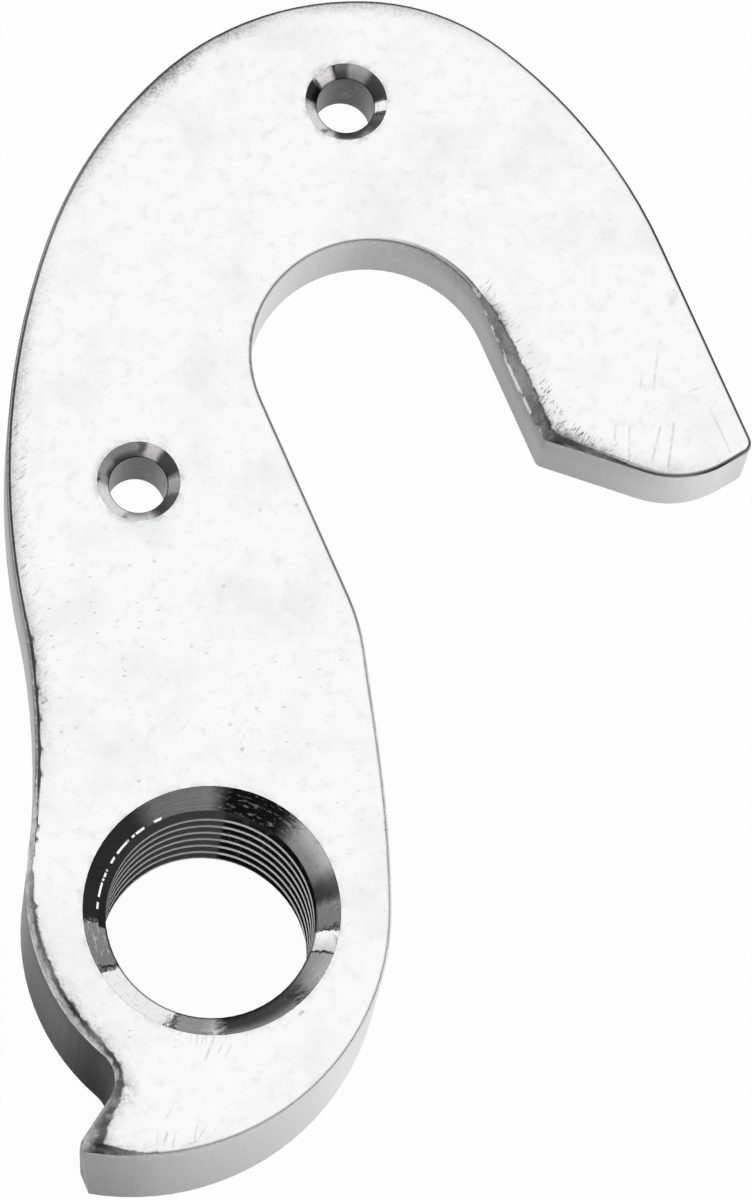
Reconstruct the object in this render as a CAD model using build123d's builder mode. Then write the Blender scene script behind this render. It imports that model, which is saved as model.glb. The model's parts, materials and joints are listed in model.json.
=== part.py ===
"""Bicycle derailleur hanger: a hooked aluminium plate with a thick threaded boss at its lower end.

The part lies on its back with the outer face up. The origin is on the axis of the derailleur
thread, on the back of the boss. X points forward on the bicycle and Y points up it.
"""

import os
from math import cos, radians, sin

from build123d import *

# Thicknesses, in millimetres
boss_thickness = 7.8
hook_thickness = 4.0

# Derailleur thread, bored to the minor diameter of M10 x 1
thread_bore_radius = 4.5
thread_rim_radius = 5.54
thread_back_chamfer = 0.2

# Axle slot, open at its lower end and leaning forward
axle_forward = 6.98
axle_height = 25.37
slot_radius = 5.38
slot_lean = 23.3
slot_front_length = 6.27
slot_rear_length = 9.75

# Tapped holes for the frame screws, on a circle about the axle
screw_circle_radius = 11.95
screw_angles = (96.1, 210.6)
screw_bore_radius = 1.28
screw_rim_radius = 1.82
screw_back_chamfer = 0.5

# Back of the hook: tangent arcs that run both ways from the crown
crown_shift = -0.39
crown_height = 16.77
crown_rear_radius = 12.95
crown_rear_sweep = 45.0
shoulder_rear_radius = 20.0
shoulder_rear_sweep = 26.9
flank_radius = 33.1
flank_sweep = 30.6
crown_front_radius = 9.85
crown_front_sweep = 38.0
shoulder_front_radius = 23.1
shoulder_front_sweep = 28.9

# Tip of the hook: its straight outer edge, then its end edge, which turns back to the slot
tip_outer_length = 10.17
tip_end_turn = 81.1
tip_end_length = 3.48
tip_outer_corner = 0.55
tip_toe_corner = 4.2
tip_inner_corner = 0.4

# Neck below the slot
bend_radius = 9.4
bend_sweep = 15.4

# Rear wall, heel and stop tab around the derailleur thread
rear_wall_forward = 1.84
rear_wall_height = 1.06
rear_wall_radius = 9.8
rear_wall_start = 172.0
notch_angle = 236.6
notch_radius = 1.5
heel_forward = -3.2
heel_height = 0.1
heel_radius = 10.92
heel_sweep = 103.2
tab_corner = 0.35
toe_setback = 0.2
toe_lean = 4.0

# Round shoulder of the boss on the back
boss_radius = 9.0
reach_width = 80.0

# Tumbled edges
front_edge_radius = 0.25
back_edge_radius = 0.3
seat_chamfer = 0.25

axle_center = Vector(axle_forward, axle_height)
rear_wall_center = Vector(rear_wall_forward, rear_wall_height)
heel_center = Vector(heel_forward, heel_height)
slot_along = Vector(sin(radians(slot_lean)), -cos(radians(slot_lean)))
crown = axle_center + Vector(crown_shift, crown_height)
relief_depth = boss_thickness - hook_thickness
screw_places = [
    axle_center + Vector(screw_circle_radius * cos(radians(a)), screw_circle_radius * sin(radians(a)))
    for a in screw_angles
]


os.makedirs("parts", exist_ok=True)

# The boss: the outline at its full thickness, cut off by the round shoulder
with BuildPart() as boss:
    with BuildSketch() as outline:
        with BuildLine():
            # Axle slot and the edges on both sides of it
            slot_end = CenterArc(axle_center, slot_radius, slot_lean, 180)
            slot_rear = Line(slot_end @ 1, slot_end @ 1 + slot_along * slot_rear_length)

            # Back of the hook, from the crown to the tip
            crown_front = JernArc(crown, (1, 0), crown_front_radius, -crown_front_sweep)
            shoulder_front = JernArc(
                crown_front @ 1, crown_front % 1, shoulder_front_radius, -shoulder_front_sweep
            )
            tip_inner = slot_end @ 0 + slot_along * slot_front_length
            tip_outer = shoulder_front @ 1 + (shoulder_front % 1) * tip_outer_length
            tip_toe = tip_outer + (shoulder_front % 1).rotate(Axis.Z, -tip_end_turn) * tip_end_length
            FilletPolyline(
                shoulder_front @ 1,
                tip_outer,
                tip_toe,
                tip_inner,
                slot_end @ 0,
                radius=[tip_outer_corner, tip_toe_corner, tip_inner_corner],
            )

            # Back of the hook, from the crown to the rear flank
            crown_rear = JernArc(crown, (-1, 0), crown_rear_radius, crown_rear_sweep)
            shoulder_rear = JernArc(
                crown_rear @ 1, crown_rear % 1, shoulder_rear_radius, shoulder_rear_sweep
            )
            flank = JernArc(shoulder_rear @ 1, shoulder_rear % 1, flank_radius, flank_sweep)

            # Lower end: heel, stop tab and rear wall
            heel = CenterArc(heel_center, heel_radius, 0, -heel_sweep)
            rear_wall = CenterArc(
                rear_wall_center, rear_wall_radius, notch_angle, rear_wall_start - notch_angle
            )
            tab = Line(heel @ 1, rear_wall @ 0)

            # Neck and waist, which join the hook to the lower end
            bend = JernArc(slot_rear @ 1, slot_along, bend_radius, -bend_sweep)
            Spline(bend @ 1, heel @ 0, tangents=[bend % 1, heel % 0])
            Spline(rear_wall @ 1, flank @ 1, tangents=[rear_wall % 1, (flank % 1) * -1])
        make_face()
        fillet(outline.vertices().sort_by_distance(heel @ 1)[0], tab_corner)
        fillet(outline.vertices().sort_by_distance(rear_wall @ 0)[0], notch_radius)
    extrude(amount=boss_thickness)

    back_face = boss.faces().sort_by(Axis.Z)[0]
    fillet(back_face.outer_wire().edges(), back_edge_radius)
    with BuildSketch() as reach:
        Circle(boss_radius)
        with Locations((0, -axle_height)):
            Rectangle(reach_width, 2 * axle_height)
    extrude(amount=boss_thickness, mode=Mode.INTERSECT)

# The whole hanger: the hook's plate, with the edges of its seat broken, joined to the boss
with BuildPart() as hanger_body:
    with BuildSketch(Plane.XY.offset(relief_depth)):
        add(outline.sketch_local)
    extrude(amount=hook_thickness)
    seat = hanger_body.faces().sort_by(Axis.Z)[0]
    chamfer(seat.outer_wire().edges(), seat_chamfer)
    add(boss.part)

    # Tumbled edge of the front face
    front_face = hanger_body.faces().sort_by(Axis.Z)[-1]
    fillet(front_face.outer_wire().edges(), front_edge_radius)

    # The toe of the stop tab leans in towards the back
    toe_out = ((heel % 1) - (tab % 0)).normalized()
    toe_front = heel @ 1 - toe_out * toe_setback + Vector(0, 0, boss_thickness)
    toe_normal = toe_out * cos(radians(toe_lean)) - Vector(0, 0, sin(radians(toe_lean)))
    split(bisect_by=Plane(toe_front, z_dir=toe_normal), keep=Keep.BOTTOM)

    # Threaded bore and frame screw holes, countersunk on the front
    with Locations((0, 0, boss_thickness)):
        CounterSinkHole(thread_bore_radius, thread_rim_radius, counter_sink_angle=90)
    with Locations(*[(p.X, p.Y, boss_thickness) for p in screw_places]):
        CounterSinkHole(screw_bore_radius, screw_rim_radius, counter_sink_angle=90)

    # Countersinks where the bores leave the back
    boss_back = hanger_body.faces().filter_by(Axis.Z).sort_by(Axis.Z)[0]
    chamfer(boss_back.inner_wires().edges(), thread_back_chamfer)
    hook_back = hanger_body.faces().filter_by(Axis.Z).sort_by(Axis.Z)[1]
    chamfer(hook_back.inner_wires().edges(), screw_back_chamfer)

hanger_body.part.label = "hanger_body"
export_step(hanger_body.part, "parts/hanger_body.step")
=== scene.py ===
"""Bicycle derailleur hanger, dressed as one piece of milled, tapped and tumbled aluminium.

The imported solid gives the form. A copy of it gets its thread and its worn bevels cut, its flat
faces and upright walls divided finely enough to carry wear, and a finish for each way that it was
worked: tumbled faces, milled walls, tapped and drilled bores, countersinks and worn bevels.
"""

import json
import logging
import math
import random
from collections import Counter
from dataclasses import dataclass
from enum import Enum
from typing import Any

import bmesh
import bpy
import numpy as np
from mathutils import Matrix, Vector
from mathutils.kdtree import KDTree


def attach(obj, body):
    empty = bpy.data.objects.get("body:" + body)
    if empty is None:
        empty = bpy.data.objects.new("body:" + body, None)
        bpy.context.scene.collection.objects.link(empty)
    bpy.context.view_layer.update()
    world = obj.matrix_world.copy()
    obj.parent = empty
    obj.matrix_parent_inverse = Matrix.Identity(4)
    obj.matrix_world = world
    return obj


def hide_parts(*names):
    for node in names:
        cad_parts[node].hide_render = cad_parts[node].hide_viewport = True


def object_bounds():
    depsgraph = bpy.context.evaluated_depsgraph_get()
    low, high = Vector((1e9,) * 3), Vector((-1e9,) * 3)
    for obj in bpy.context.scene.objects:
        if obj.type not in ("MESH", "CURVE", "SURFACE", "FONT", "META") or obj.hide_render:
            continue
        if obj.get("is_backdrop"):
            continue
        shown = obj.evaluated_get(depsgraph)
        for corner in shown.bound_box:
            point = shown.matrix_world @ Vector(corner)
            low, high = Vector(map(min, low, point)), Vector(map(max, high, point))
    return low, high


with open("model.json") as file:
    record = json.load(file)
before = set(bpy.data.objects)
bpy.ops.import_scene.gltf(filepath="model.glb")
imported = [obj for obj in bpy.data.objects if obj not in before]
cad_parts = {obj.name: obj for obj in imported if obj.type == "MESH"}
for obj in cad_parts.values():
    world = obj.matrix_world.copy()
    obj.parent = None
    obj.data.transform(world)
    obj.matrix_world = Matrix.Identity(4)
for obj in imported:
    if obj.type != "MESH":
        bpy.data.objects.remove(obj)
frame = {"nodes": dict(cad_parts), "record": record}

LOG = logging.getLogger("hanger")
MM = 0.001
BODY = "root"
NODE = "hanger_body"
PHOTO_WIDTH = 752
PHOTO_HEIGHT = 1200
WHITE = "#FFFFFF"

# The least upright part of a flat face's normal, and how far off the front's height its points may
# lie, in millimetres
FLAT = 0.999
LEVEL = 0.002

# Keeps a division by a length of 0 from failing
TINY = 1e-15

# The slant of a 45 degree cone for each step outwards, and a third of it, for a relief that grows
# with the cube of the distance
CONE_SLANT = 1.414
CUBE_SLANT = 0.471


def linear(code: str) -> tuple[float, float, float, float]:
    """Turn an sRGB hex colour into linear RGBA.

    Args:
        code: The colour as six hex digits after a hash sign.

    Returns:
        Linear red, green and blue with full alpha.
    """
    parts = [int(code[i : i + 2], 16) / 255 for i in (1, 3, 5)]
    rgb = [c / 12.92 if c <= 0.04045 else ((c + 0.055) / 1.055) ** 2.4 for c in parts]
    return (rgb[0], rgb[1], rgb[2], 1.0)


def add_node(
    tree: bpy.types.NodeTree, kind: str, settings: dict[str, Any] | None = None, **inputs: Any
) -> bpy.types.Node:
    """Add a node to a tree, set its properties and fill or link its inputs.

    Args:
        tree: The tree that gets the node.
        kind: The node's type name.
        settings: Properties of the node itself.
        **inputs: A socket's name, or in_ and its number, with a value or an output socket.

    Returns:
        The new node.
    """
    node = tree.nodes.new(kind)
    for name, value in (settings or {}).items():
        setattr(node, name, value)
    for name, value in inputs.items():
        key = int(name[3:]) if name.startswith("in_") else name.replace("_", " ")
        socket = node.inputs[key]
        if isinstance(value, bpy.types.NodeSocket):
            tree.links.new(value, socket)
        else:
            socket.default_value = value
    return node


# Settings that many nodes share
TIMES = {"operation": "MULTIPLY"}
PLUS = {"operation": "ADD"}
LESS = {"operation": "SUBTRACT"}
MOST = {"operation": "MAXIMUM"}
SCALED_SUM = {"operation": "MULTIPLY_ADD"}
CLAMPED_SUM = {"operation": "ADD", "use_clamp": True}
CLAMPED_LESS = {"operation": "SUBTRACT", "use_clamp": True}
ABSOLUTE = {"operation": "ABSOLUTE"}
SCALE = {"operation": "SCALE"}
LENGTH = {"operation": "LENGTH"}
DISTANCE = {"operation": "DISTANCE"}
SMOOTH = {"interpolation_type": "SMOOTHSTEP"}
COLOURS = {"data_type": "RGBA"}
INVERSE = {"vector_type": "TEXTURE"}


class Surface(Enum):
    """The ways the aluminium was worked, by material slot.

    MOUTH is the first of three, one for each hole's countersink.
    """

    FACE = 0
    WALL = 1
    THREAD = 2
    DRILLED = 3
    BEVEL = 4
    MOUTH = 5
    RUBBED = 8


class Wear(Enum):
    """What the mesh carries at each vertex for the finishes to read."""

    EDGE = "edge"
    SCUFF = "scuff"
    # Soot and painted shade on the rounded edge, the shade strongest where the edge looks upward
    FRINGE = "fringe"
    # Painted shade along the edge where it looks to the rear
    BORDER = "border"
    # Soot and painted shade where the rounding meets a wall or a bevel, the shade strongest where the edge
    # looks upward
    LINE = "line"
    HAIR = "hair"
    STAIN = "stain"
    FOOT = "foot"
    PITTED = "pitted"
    RAKED = "raked"
    # Painted light and shade on the walls, by which way they look and where they lie
    TONE = "tone"


@dataclass(frozen=True)
class Patch:
    """A place on the hanger in plan, in millimetres, with how far a mark reaches and how strong it is."""

    x: float
    y: float
    reach: float
    amount: float = 1.0


@dataclass(frozen=True)
class Scratch:
    """A single scratch in the face, from one point in plan to another, in millimetres."""

    start: tuple[float, float]
    end: tuple[float, float]
    width: float = 0.08
    amount: float = 0.5


@dataclass(frozen=True)
class Sector:
    """A stretch of a countersink that differs from the rest.

    Attributes:
        middle: The direction of its middle from the hole's axis, in degrees from X.
        half: Half its angle, in degrees.
        soft: The angle over which it fades out, in degrees.
        shade: The colour painted there, as the dark and bright reflections that the stretch shows.
        lean: How far the burnished rim leans back towards level, in degrees.
        burr: How much of it is covered by pale burrs.
        roll: How much further its outer edge leans, in degrees.
    """

    middle: float
    half: float
    soft: float
    shade: str
    lean: float = 0.0
    burr: float = 0.0
    roll: float = 0.0


@dataclass(frozen=True)
class Cloud:
    """A pattern of soft random blotches, which may be cut to blots between two levels.

    Attributes:
        size: The blotches' size, in millimetres.
        detail: How many finer layers they have.
        seed: Moves the pattern to another place.
        low: The level at which a blot begins.
        high: The level at which it is full.
        stretch: How much longer the blotches are along each axis.
        roughness: How strong the finer layers are.
    """

    size: float
    detail: float
    seed: float = 0.0
    low: float = 0.0
    high: float = 1.0
    stretch: tuple[float, ...] = (1, 1, 1)
    roughness: float = 0.6


@dataclass(frozen=True)
class Strokes:
    """A pattern of short straight scratches in plan or, where length equals width, of round pits.

    Attributes:
        length: The length of the longest scratch, in millimetres.
        width: Its width.
        angle: Its direction, in degrees from the X axis.
        share: The share of the possible places that hold one.
        seed: Moves the pattern to another place.
        crowd: How closely the places lie, as a mark's half length in places.
        smallest: The smallest mark's size, as a share of the longest one's.
        core: The share of a mark that is full before it fades out.
    """

    length: float
    width: float
    angle: float
    share: float
    seed: float
    crowd: float = 0.16
    smallest: float = 0.3
    core: float = 0.4


class Finish:
    """A node material on the hanger that reads object coordinates in millimetres.

    Attributes:
        material: The material.
        tree: Its node tree.
        shader: Its Principled shader.
        place: The output that gives the point on the hanger, in millimetres.
        worn: The outputs that give the wear that the mesh carries.
    """

    def __init__(self, name: str, *wears: Wear) -> None:
        """Start the material.

        Args:
            name: The material's name.
            *wears: The kinds of wear that it reads from the mesh.
        """
        self.material = bpy.data.materials.new(name)
        self.material.use_nodes = True
        self.tree = self.material.node_tree
        self.shader = self.tree.nodes["Principled BSDF"]
        self.shader.inputs["Metallic"].default_value = 1.0
        here = self.put("TexCoord", None, "Object")
        self.place = self.put("VectorMath", SCALE, in_0=here, Scale=1 / MM)
        self.worn = [self.put("Attribute", {"attribute_name": wear.value}, "Fac") for wear in wears]

    def put(
        self, kind: str, settings: dict[str, Any] | None = None, out: int | str = 0, **inputs: Any
    ) -> bpy.types.NodeSocket:
        """Add a node to the material and give one of its outputs.

        Args:
            kind: The node's type name, without the words that all shader nodes share.
            settings: Properties of the node itself.
            out: The name or number of the output.
            **inputs: The node's inputs, as add_node takes them.

        Returns:
            The output socket.
        """
        return add_node(self.tree, "ShaderNode" + kind, settings, **inputs).outputs[out]

    def cloud(self, pattern: Cloud) -> bpy.types.NodeSocket:
        """Lay soft random blotches.

        Args:
            pattern: The blotches.

        Returns:
            The output that holds the pattern, around 0.5.
        """
        moved = self.put(
            "Mapping", INVERSE, Vector=self.place, Location=(pattern.seed, -pattern.seed, pattern.seed),
            Scale=tuple(pattern.size * s for s in pattern.stretch),
        )
        return self.put(
            "TexNoise", None, "Fac", Vector=moved, Scale=1.0, Detail=pattern.detail,
            Roughness=pattern.roughness,
        )

    def blots(self, pattern: Cloud) -> bpy.types.NodeSocket:
        """Lay blots where the blotches are thick.

        Args:
            pattern: The blotches and the levels between which a blot fills.

        Returns:
            The output that is 1 on a blot and 0 elsewhere.
        """
        cloud = self.cloud(pattern)
        return self.put("MapRange", SMOOTH, Value=cloud, From_Min=pattern.low, From_Max=pattern.high)

    def marks(self, pattern: Strokes) -> bpy.types.NodeSocket:
        """Scatter short straight scratches or round pits.

        Args:
            pattern: The marks.

        Returns:
            The output that is 1 on a mark and 0 elsewhere.
        """
        crowd = pattern.crowd
        cells = self.put(
            "Mapping", INVERSE, Vector=self.place, Location=(pattern.seed, -pattern.seed, 0),
            Rotation=(0, 0, math.radians(pattern.angle)),
            Scale=(pattern.length / 2 / crowd, pattern.width / 2 / crowd, 1),
        )
        spots = add_node(
            self.tree, "ShaderNodeTexVoronoi", {"voronoi_dimensions": "2D"}, Vector=cells, Scale=1.0
        )
        drawn = add_node(self.tree, "ShaderNodeSeparateColor", Color=spots.outputs["Color"])
        chosen = self.put("Math", {"operation": "LESS_THAN"}, in_0=drawn.outputs[0], in_1=pattern.share)
        size = self.put(
            "Math", SCALED_SUM, in_0=drawn.outputs[1], in_1=1 - pattern.smallest, in_2=pattern.smallest
        )
        away = self.put("Math", {"operation": "DIVIDE"}, in_0=spots.outputs["Distance"], in_1=size)
        near = self.put("MapRange", SMOOTH, Value=away, From_Min=crowd, From_Max=crowd * pattern.core)
        return self.put("Math", TIMES, in_0=near, in_1=chosen)

    def coated(
        self,
        base: tuple[float, ...] | bpy.types.NodeSocket,
        coats: list[tuple[bpy.types.NodeSocket, str]],
    ) -> bpy.types.NodeSocket:
        """Lay coats of colour over one another.

        Args:
            base: The linear colour below them, or the output that gives it.
            coats: For each coat, the output that says how much of it there is, and its hex colour.

        Returns:
            The output that gives the colour on top.
        """
        for share, code in coats:
            base = self.put("Mix", COLOURS, 2, in_0=share, in_6=base, in_7=linear(code))
        return base

    def dress(
        self,
        colour: bpy.types.NodeSocket,
        roughness: bpy.types.NodeSocket,
        height: bpy.types.NodeSocket,
        glance: bpy.types.NodeSocket | None = None,
    ) -> bpy.types.Material:
        """Finish the material.

        Args:
            colour: The output that gives the metal's colour.
            roughness: The output that gives its roughness.
            height: The output that gives the relief, in millimetres.
            glance: The output that tints what the metal mirrors at a glancing view.

        Returns:
            The finished material.
        """
        if glance:
            self.tree.links.new(glance, self.shader.inputs["Specular Tint"])
        bump = self.put("Bump", Height=height, Distance=MM, Strength=1.0)
        self.tree.links.new(colour, self.shader.inputs["Base Color"])
        self.tree.links.new(roughness, self.shader.inputs["Roughness"])
        self.tree.links.new(bump, self.shader.inputs["Normal"])
        return self.material


@dataclass(frozen=True)
class TumbledFace:
    """Aluminium faces after a vibratory tumble.

    Nearly white and satin, so the face mirrors the softbox without a clear image. Pits, drag
    marks from the tumbling stones, hairs and grey scuffs break up the front. The back is plain.
    """

    rims: tuple[Patch, ...]
    scratches: tuple[Scratch, ...]
    pale: str = "#FCFCFC"
    grey: str = "#F2F2F3"
    mottled: str = "#EEEEEF"
    scuff: str = "#8F8F8F"
    pit: str = "#8A8A8C"
    soot: str = "#1A1A1A"
    border: str = "#343434"
    hair: str = "#707070"
    roughness: float = 0.34
    blotches: Cloud = Cloud(3.2, 4.0, 0.0, 0.45, 0.75)
    mottling: Cloud = Cloud(0.6, 4.0, 21.0, 0.50, 0.74)
    mottle_share: float = 0.8
    sand: Strokes = Strokes(0.10, 0.10, 0, 0.05, 3.0)
    sand_share: float = 0.5
    dents: Strokes = Strokes(0.30, 0.10, 8, 0.22, 7.0)
    pit_share: float = 0.55
    upright_drags: Strokes = Strokes(1.6, 0.045, 84, 0.30, 1.0)
    slanted_drags: Strokes = Strokes(1.1, 0.04, 62, 0.16, 5.0)
    drag_share: float = 0.4
    fading: Cloud = Cloud(0.35, 3.0, 27.0, 0.36, 0.60)
    faintest: float = 0.25
    scratch_core: float = 0.2
    rim_shade_blots: Cloud = Cloud(0.5, 3.0, 19.0, 0.40, 0.62)
    rim_shade_reach: float = 0.35
    rim_shade_lap: float = 0.05
    hairs: tuple[Strokes, ...] = (
        Strokes(0.7, 0.075, 56, 0.95, 11.0),
        Strokes(0.5, 0.07, 36, 0.9, 15.0),
        Strokes(0.6, 0.075, 46, 0.95, 31.0),
    )
    stubble: Strokes = Strokes(0.34, 0.07, 58, 0.9, 33.0, 0.26)
    fraying: Cloud = Cloud(0.35, 3.0, 2.0)
    fray_reach: float = 1.1
    grain: Cloud = Cloud(0.14, 2.0, 4.0, 0.40, 0.60)
    grain_share: float = 0.6
    film_share: float = 0.35
    smears: Strokes = Strokes(1.2, 0.10, 46, 0.9, 25.0)
    shade_share: float = 0.4
    crumbs: Cloud = Cloud(0.16, 3.0, 29.0)
    crumb_reach: float = 0.3
    dirt: Cloud = Cloud(0.3, 3.0, 17.0, 0.42, 0.58)
    satin: Cloud = Cloud(0.8, 3.0, 9.0)
    satin_range: float = 0.1
    peel: Cloud = Cloud(0.25, 2.0, 6.0)
    peel_height: float = 0.003
    wear_depth: float = 0.01

    def material(self) -> bpy.types.Material:
        """Build the finish as a node material.

        Returns:
            The new material.
        """
        make = Finish(
            "tumbled_aluminium_face", Wear.EDGE, Wear.BORDER, Wear.SCUFF, Wear.FRINGE, Wear.HAIR,
            Wear.STAIN, Wear.PITTED, Wear.RAKED,
        )
        edge, border, *amounts = make.worn

        # The marks belong to the front face, so the back stays plain
        fore = make.put("MapRange", Value=edge, From_Min=-1.0, From_Max=-0.5)
        scuffed, fringe, haired, stained, pitted, raked = (
            make.put("Math", TIMES, in_0=amount, in_1=fore) for amount in amounts
        )

        # The tumble leaves soft blotches a few millimetres wide over the whole face
        mottle = make.put("Math", TIMES, in_0=make.blots(self.mottling), in_1=self.mottle_share)
        coats = [(make.blots(self.blotches), self.grey), (mottle, self.mottled)]

        # Pits the size of a grain of sand and short dents, crowded where the stones dwelt
        sand = make.put("Math", TIMES, in_0=make.marks(self.sand), in_1=self.sand_share)
        dents = make.put("Math", TIMES, in_0=make.marks(self.dents), in_1=pitted)
        pits = make.put("Math", MOST, in_0=sand, in_1=dents)
        coats.append((make.put("Math", TIMES, in_0=pits, in_1=self.pit_share), self.pit))

        # Drag marks, drawn wider than the real hairlines so that they show
        upright = make.marks(self.upright_drags)
        dragged = make.put("Math", MOST, in_0=upright, in_1=make.marks(self.slanted_drags))
        drags = make.put("Math", TIMES, in_0=dragged, in_1=raked)
        coats.append((make.put("Math", TIMES, in_0=drags, in_1=self.drag_share), self.pit))
        coats += self.single_marks(make, fore)

        # Hair-fine strokes along the slot and the rear flank, drawn wider than the real ones
        thick = make.put("MapRange", SMOOTH, Value=haired, From_Min=0.9, From_Max=1.3)
        hairs = make.put("Math", TIMES, in_0=make.marks(self.stubble), in_1=thick)
        for strokes in self.hairs:
            hairs = make.put("Math", MOST, in_0=hairs, in_1=make.marks(strokes))
        rooted = make.put("MapRange", SMOOTH, Value=edge, From_Min=1.0, From_Max=0.3)
        grown = make.put("Math", TIMES, in_0=hairs, in_1=rooted)
        coats.append((make.put("Math", TIMES, in_0=grown, in_1=haired), self.hair))

        # Grey scuffs fray inwards from the edges
        fray = make.put(
            "Math", SCALED_SUM, in_0=make.cloud(self.fraying), in_1=self.fray_reach, in_2=edge
        )
        band = make.put("MapRange", SMOOTH, Value=fray, From_Min=1.3, From_Max=0.3)
        film = make.put(
            "Math", SCALED_SUM, in_0=make.blots(self.grain), in_1=self.grain_share, in_2=self.film_share
        )
        smeared = make.put("Math", MOST, in_0=film, in_1=make.marks(self.smears))
        rubbed = make.put("Math", TIMES, in_0=band, in_1=smeared)
        scuffs = make.put("Math", TIMES, in_0=rubbed, in_1=scuffed)

        # A soft grey shade just inside the scuffed edges
        shade = make.put(
            "MapRange", SMOOTH, Value=edge, From_Min=0.30, From_Max=0.0, To_Max=self.shade_share
        )
        shaded = make.put("Math", TIMES, in_0=shade, in_1=scuffed)
        coats += [(scuffs, self.scuff), (shaded, self.scuff)]

        # Soot and painted shade on the outer part of the rounded edge, the shade strongest where the edge
        # looks upward, and a painted shade along its inner border on the rear side
        edge_line = make.put("MapRange", SMOOTH, Value=edge, From_Min=-0.01, From_Max=-0.05)
        soot_and_shade = make.put("Math", TIMES, in_0=edge_line, in_1=fringe)
        crumbled = make.put(
            "Math", SCALED_SUM, in_0=make.cloud(self.crumbs), in_1=self.crumb_reach, in_2=edge
        )
        inside = make.put("MapRange", SMOOTH, Value=crumbled, From_Min=0.29, From_Max=0.17)
        outside = make.put("MapRange", SMOOTH, Value=edge, From_Min=-0.08, From_Max=-0.03)
        strip = make.put("Math", TIMES, in_0=inside, in_1=outside)
        rear_edge_shade = make.put("Math", TIMES, in_0=strip, in_1=border)
        stain = make.put("Math", TIMES, in_0=make.blots(self.dirt), in_1=stained)
        coats += [(soot_and_shade, self.soot), (rear_edge_shade, self.border), (stain, self.soot)]

        satin = make.put(
            "Math", SCALED_SUM, in_0=make.cloud(self.satin), in_1=self.satin_range,
            in_2=self.roughness - self.satin_range / 2,
        )
        peel = make.put("Math", TIMES, in_0=make.cloud(self.peel), in_1=self.peel_height)
        scored = make.put("Math", MOST, in_0=pits, in_1=drags)
        worn = make.put("Math", MOST, in_0=scored, in_1=scuffs)
        sunk = make.put("Math", TIMES, in_0=worn, in_1=self.wear_depth)
        height = make.put("Math", LESS, in_0=peel, in_1=sunk)
        return make.dress(make.coated(linear(self.pale), coats), satin, height)

    def single_marks(
        self, make: Finish, fore: bpy.types.NodeSocket
    ) -> list[tuple[bpy.types.NodeSocket, str]]:
        """Draw the single scratches and pits, each in its place, and the painted grey shade round the holes.

        Args:
            make: The material.
            fore: The output that is 1 on the front face.

        Returns:
            A coat for each mark, as Finish.coated takes them.
        """
        coats = []
        plan = make.put("VectorMath", TIMES, in_0=make.place, in_1=(1, 1, 0))
        faded = make.put(
            "MapRange", SMOOTH, Value=make.cloud(self.fading), From_Min=self.fading.low,
            From_Max=self.fading.high, To_Min=self.faintest,
        )
        left = make.put("Math", TIMES, in_0=faded, in_1=fore)
        for scratch in self.scratches:
            span = Vector((*scratch.end, 0)) - Vector((*scratch.start, 0))
            way = span.normalized()
            local = make.put("VectorMath", LESS, in_0=plan, in_1=(*scratch.start, 0))
            along = make.put("VectorMath", {"operation": "DOT_PRODUCT"}, "Value", in_0=local, in_1=way)
            kept = make.put("Clamp", Value=along, Min=0.0, Max=span.length)
            foot = make.put("VectorMath", SCALE, in_0=way, Scale=kept)
            away = make.put("VectorMath", DISTANCE, "Value", in_0=local, in_1=foot)
            trace = make.put(
                "MapRange", SMOOTH, Value=away, From_Min=scratch.width,
                From_Max=self.scratch_core * scratch.width, To_Max=scratch.amount,
            )
            coats.append((make.put("Math", TIMES, in_0=trace, in_1=left), self.pit))

        # A painted grey shade round each hole, broken up by blots
        patchy_rim_shade = make.put("Math", TIMES, in_0=make.blots(self.rim_shade_blots), in_1=fore)
        for rim in self.rims:
            away = make.put("VectorMath", DISTANCE, "Value", in_0=plan, in_1=(rim.x, rim.y, 0))
            rim_shade = make.put(
                "MapRange", SMOOTH, Value=away, From_Min=rim.reach + self.rim_shade_reach,
                From_Max=rim.reach - self.rim_shade_lap, To_Max=rim.amount,
            )
            coats.append((make.put("Math", TIMES, in_0=rim_shade, in_1=patchy_rim_shade), self.scuff))
        return coats


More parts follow.
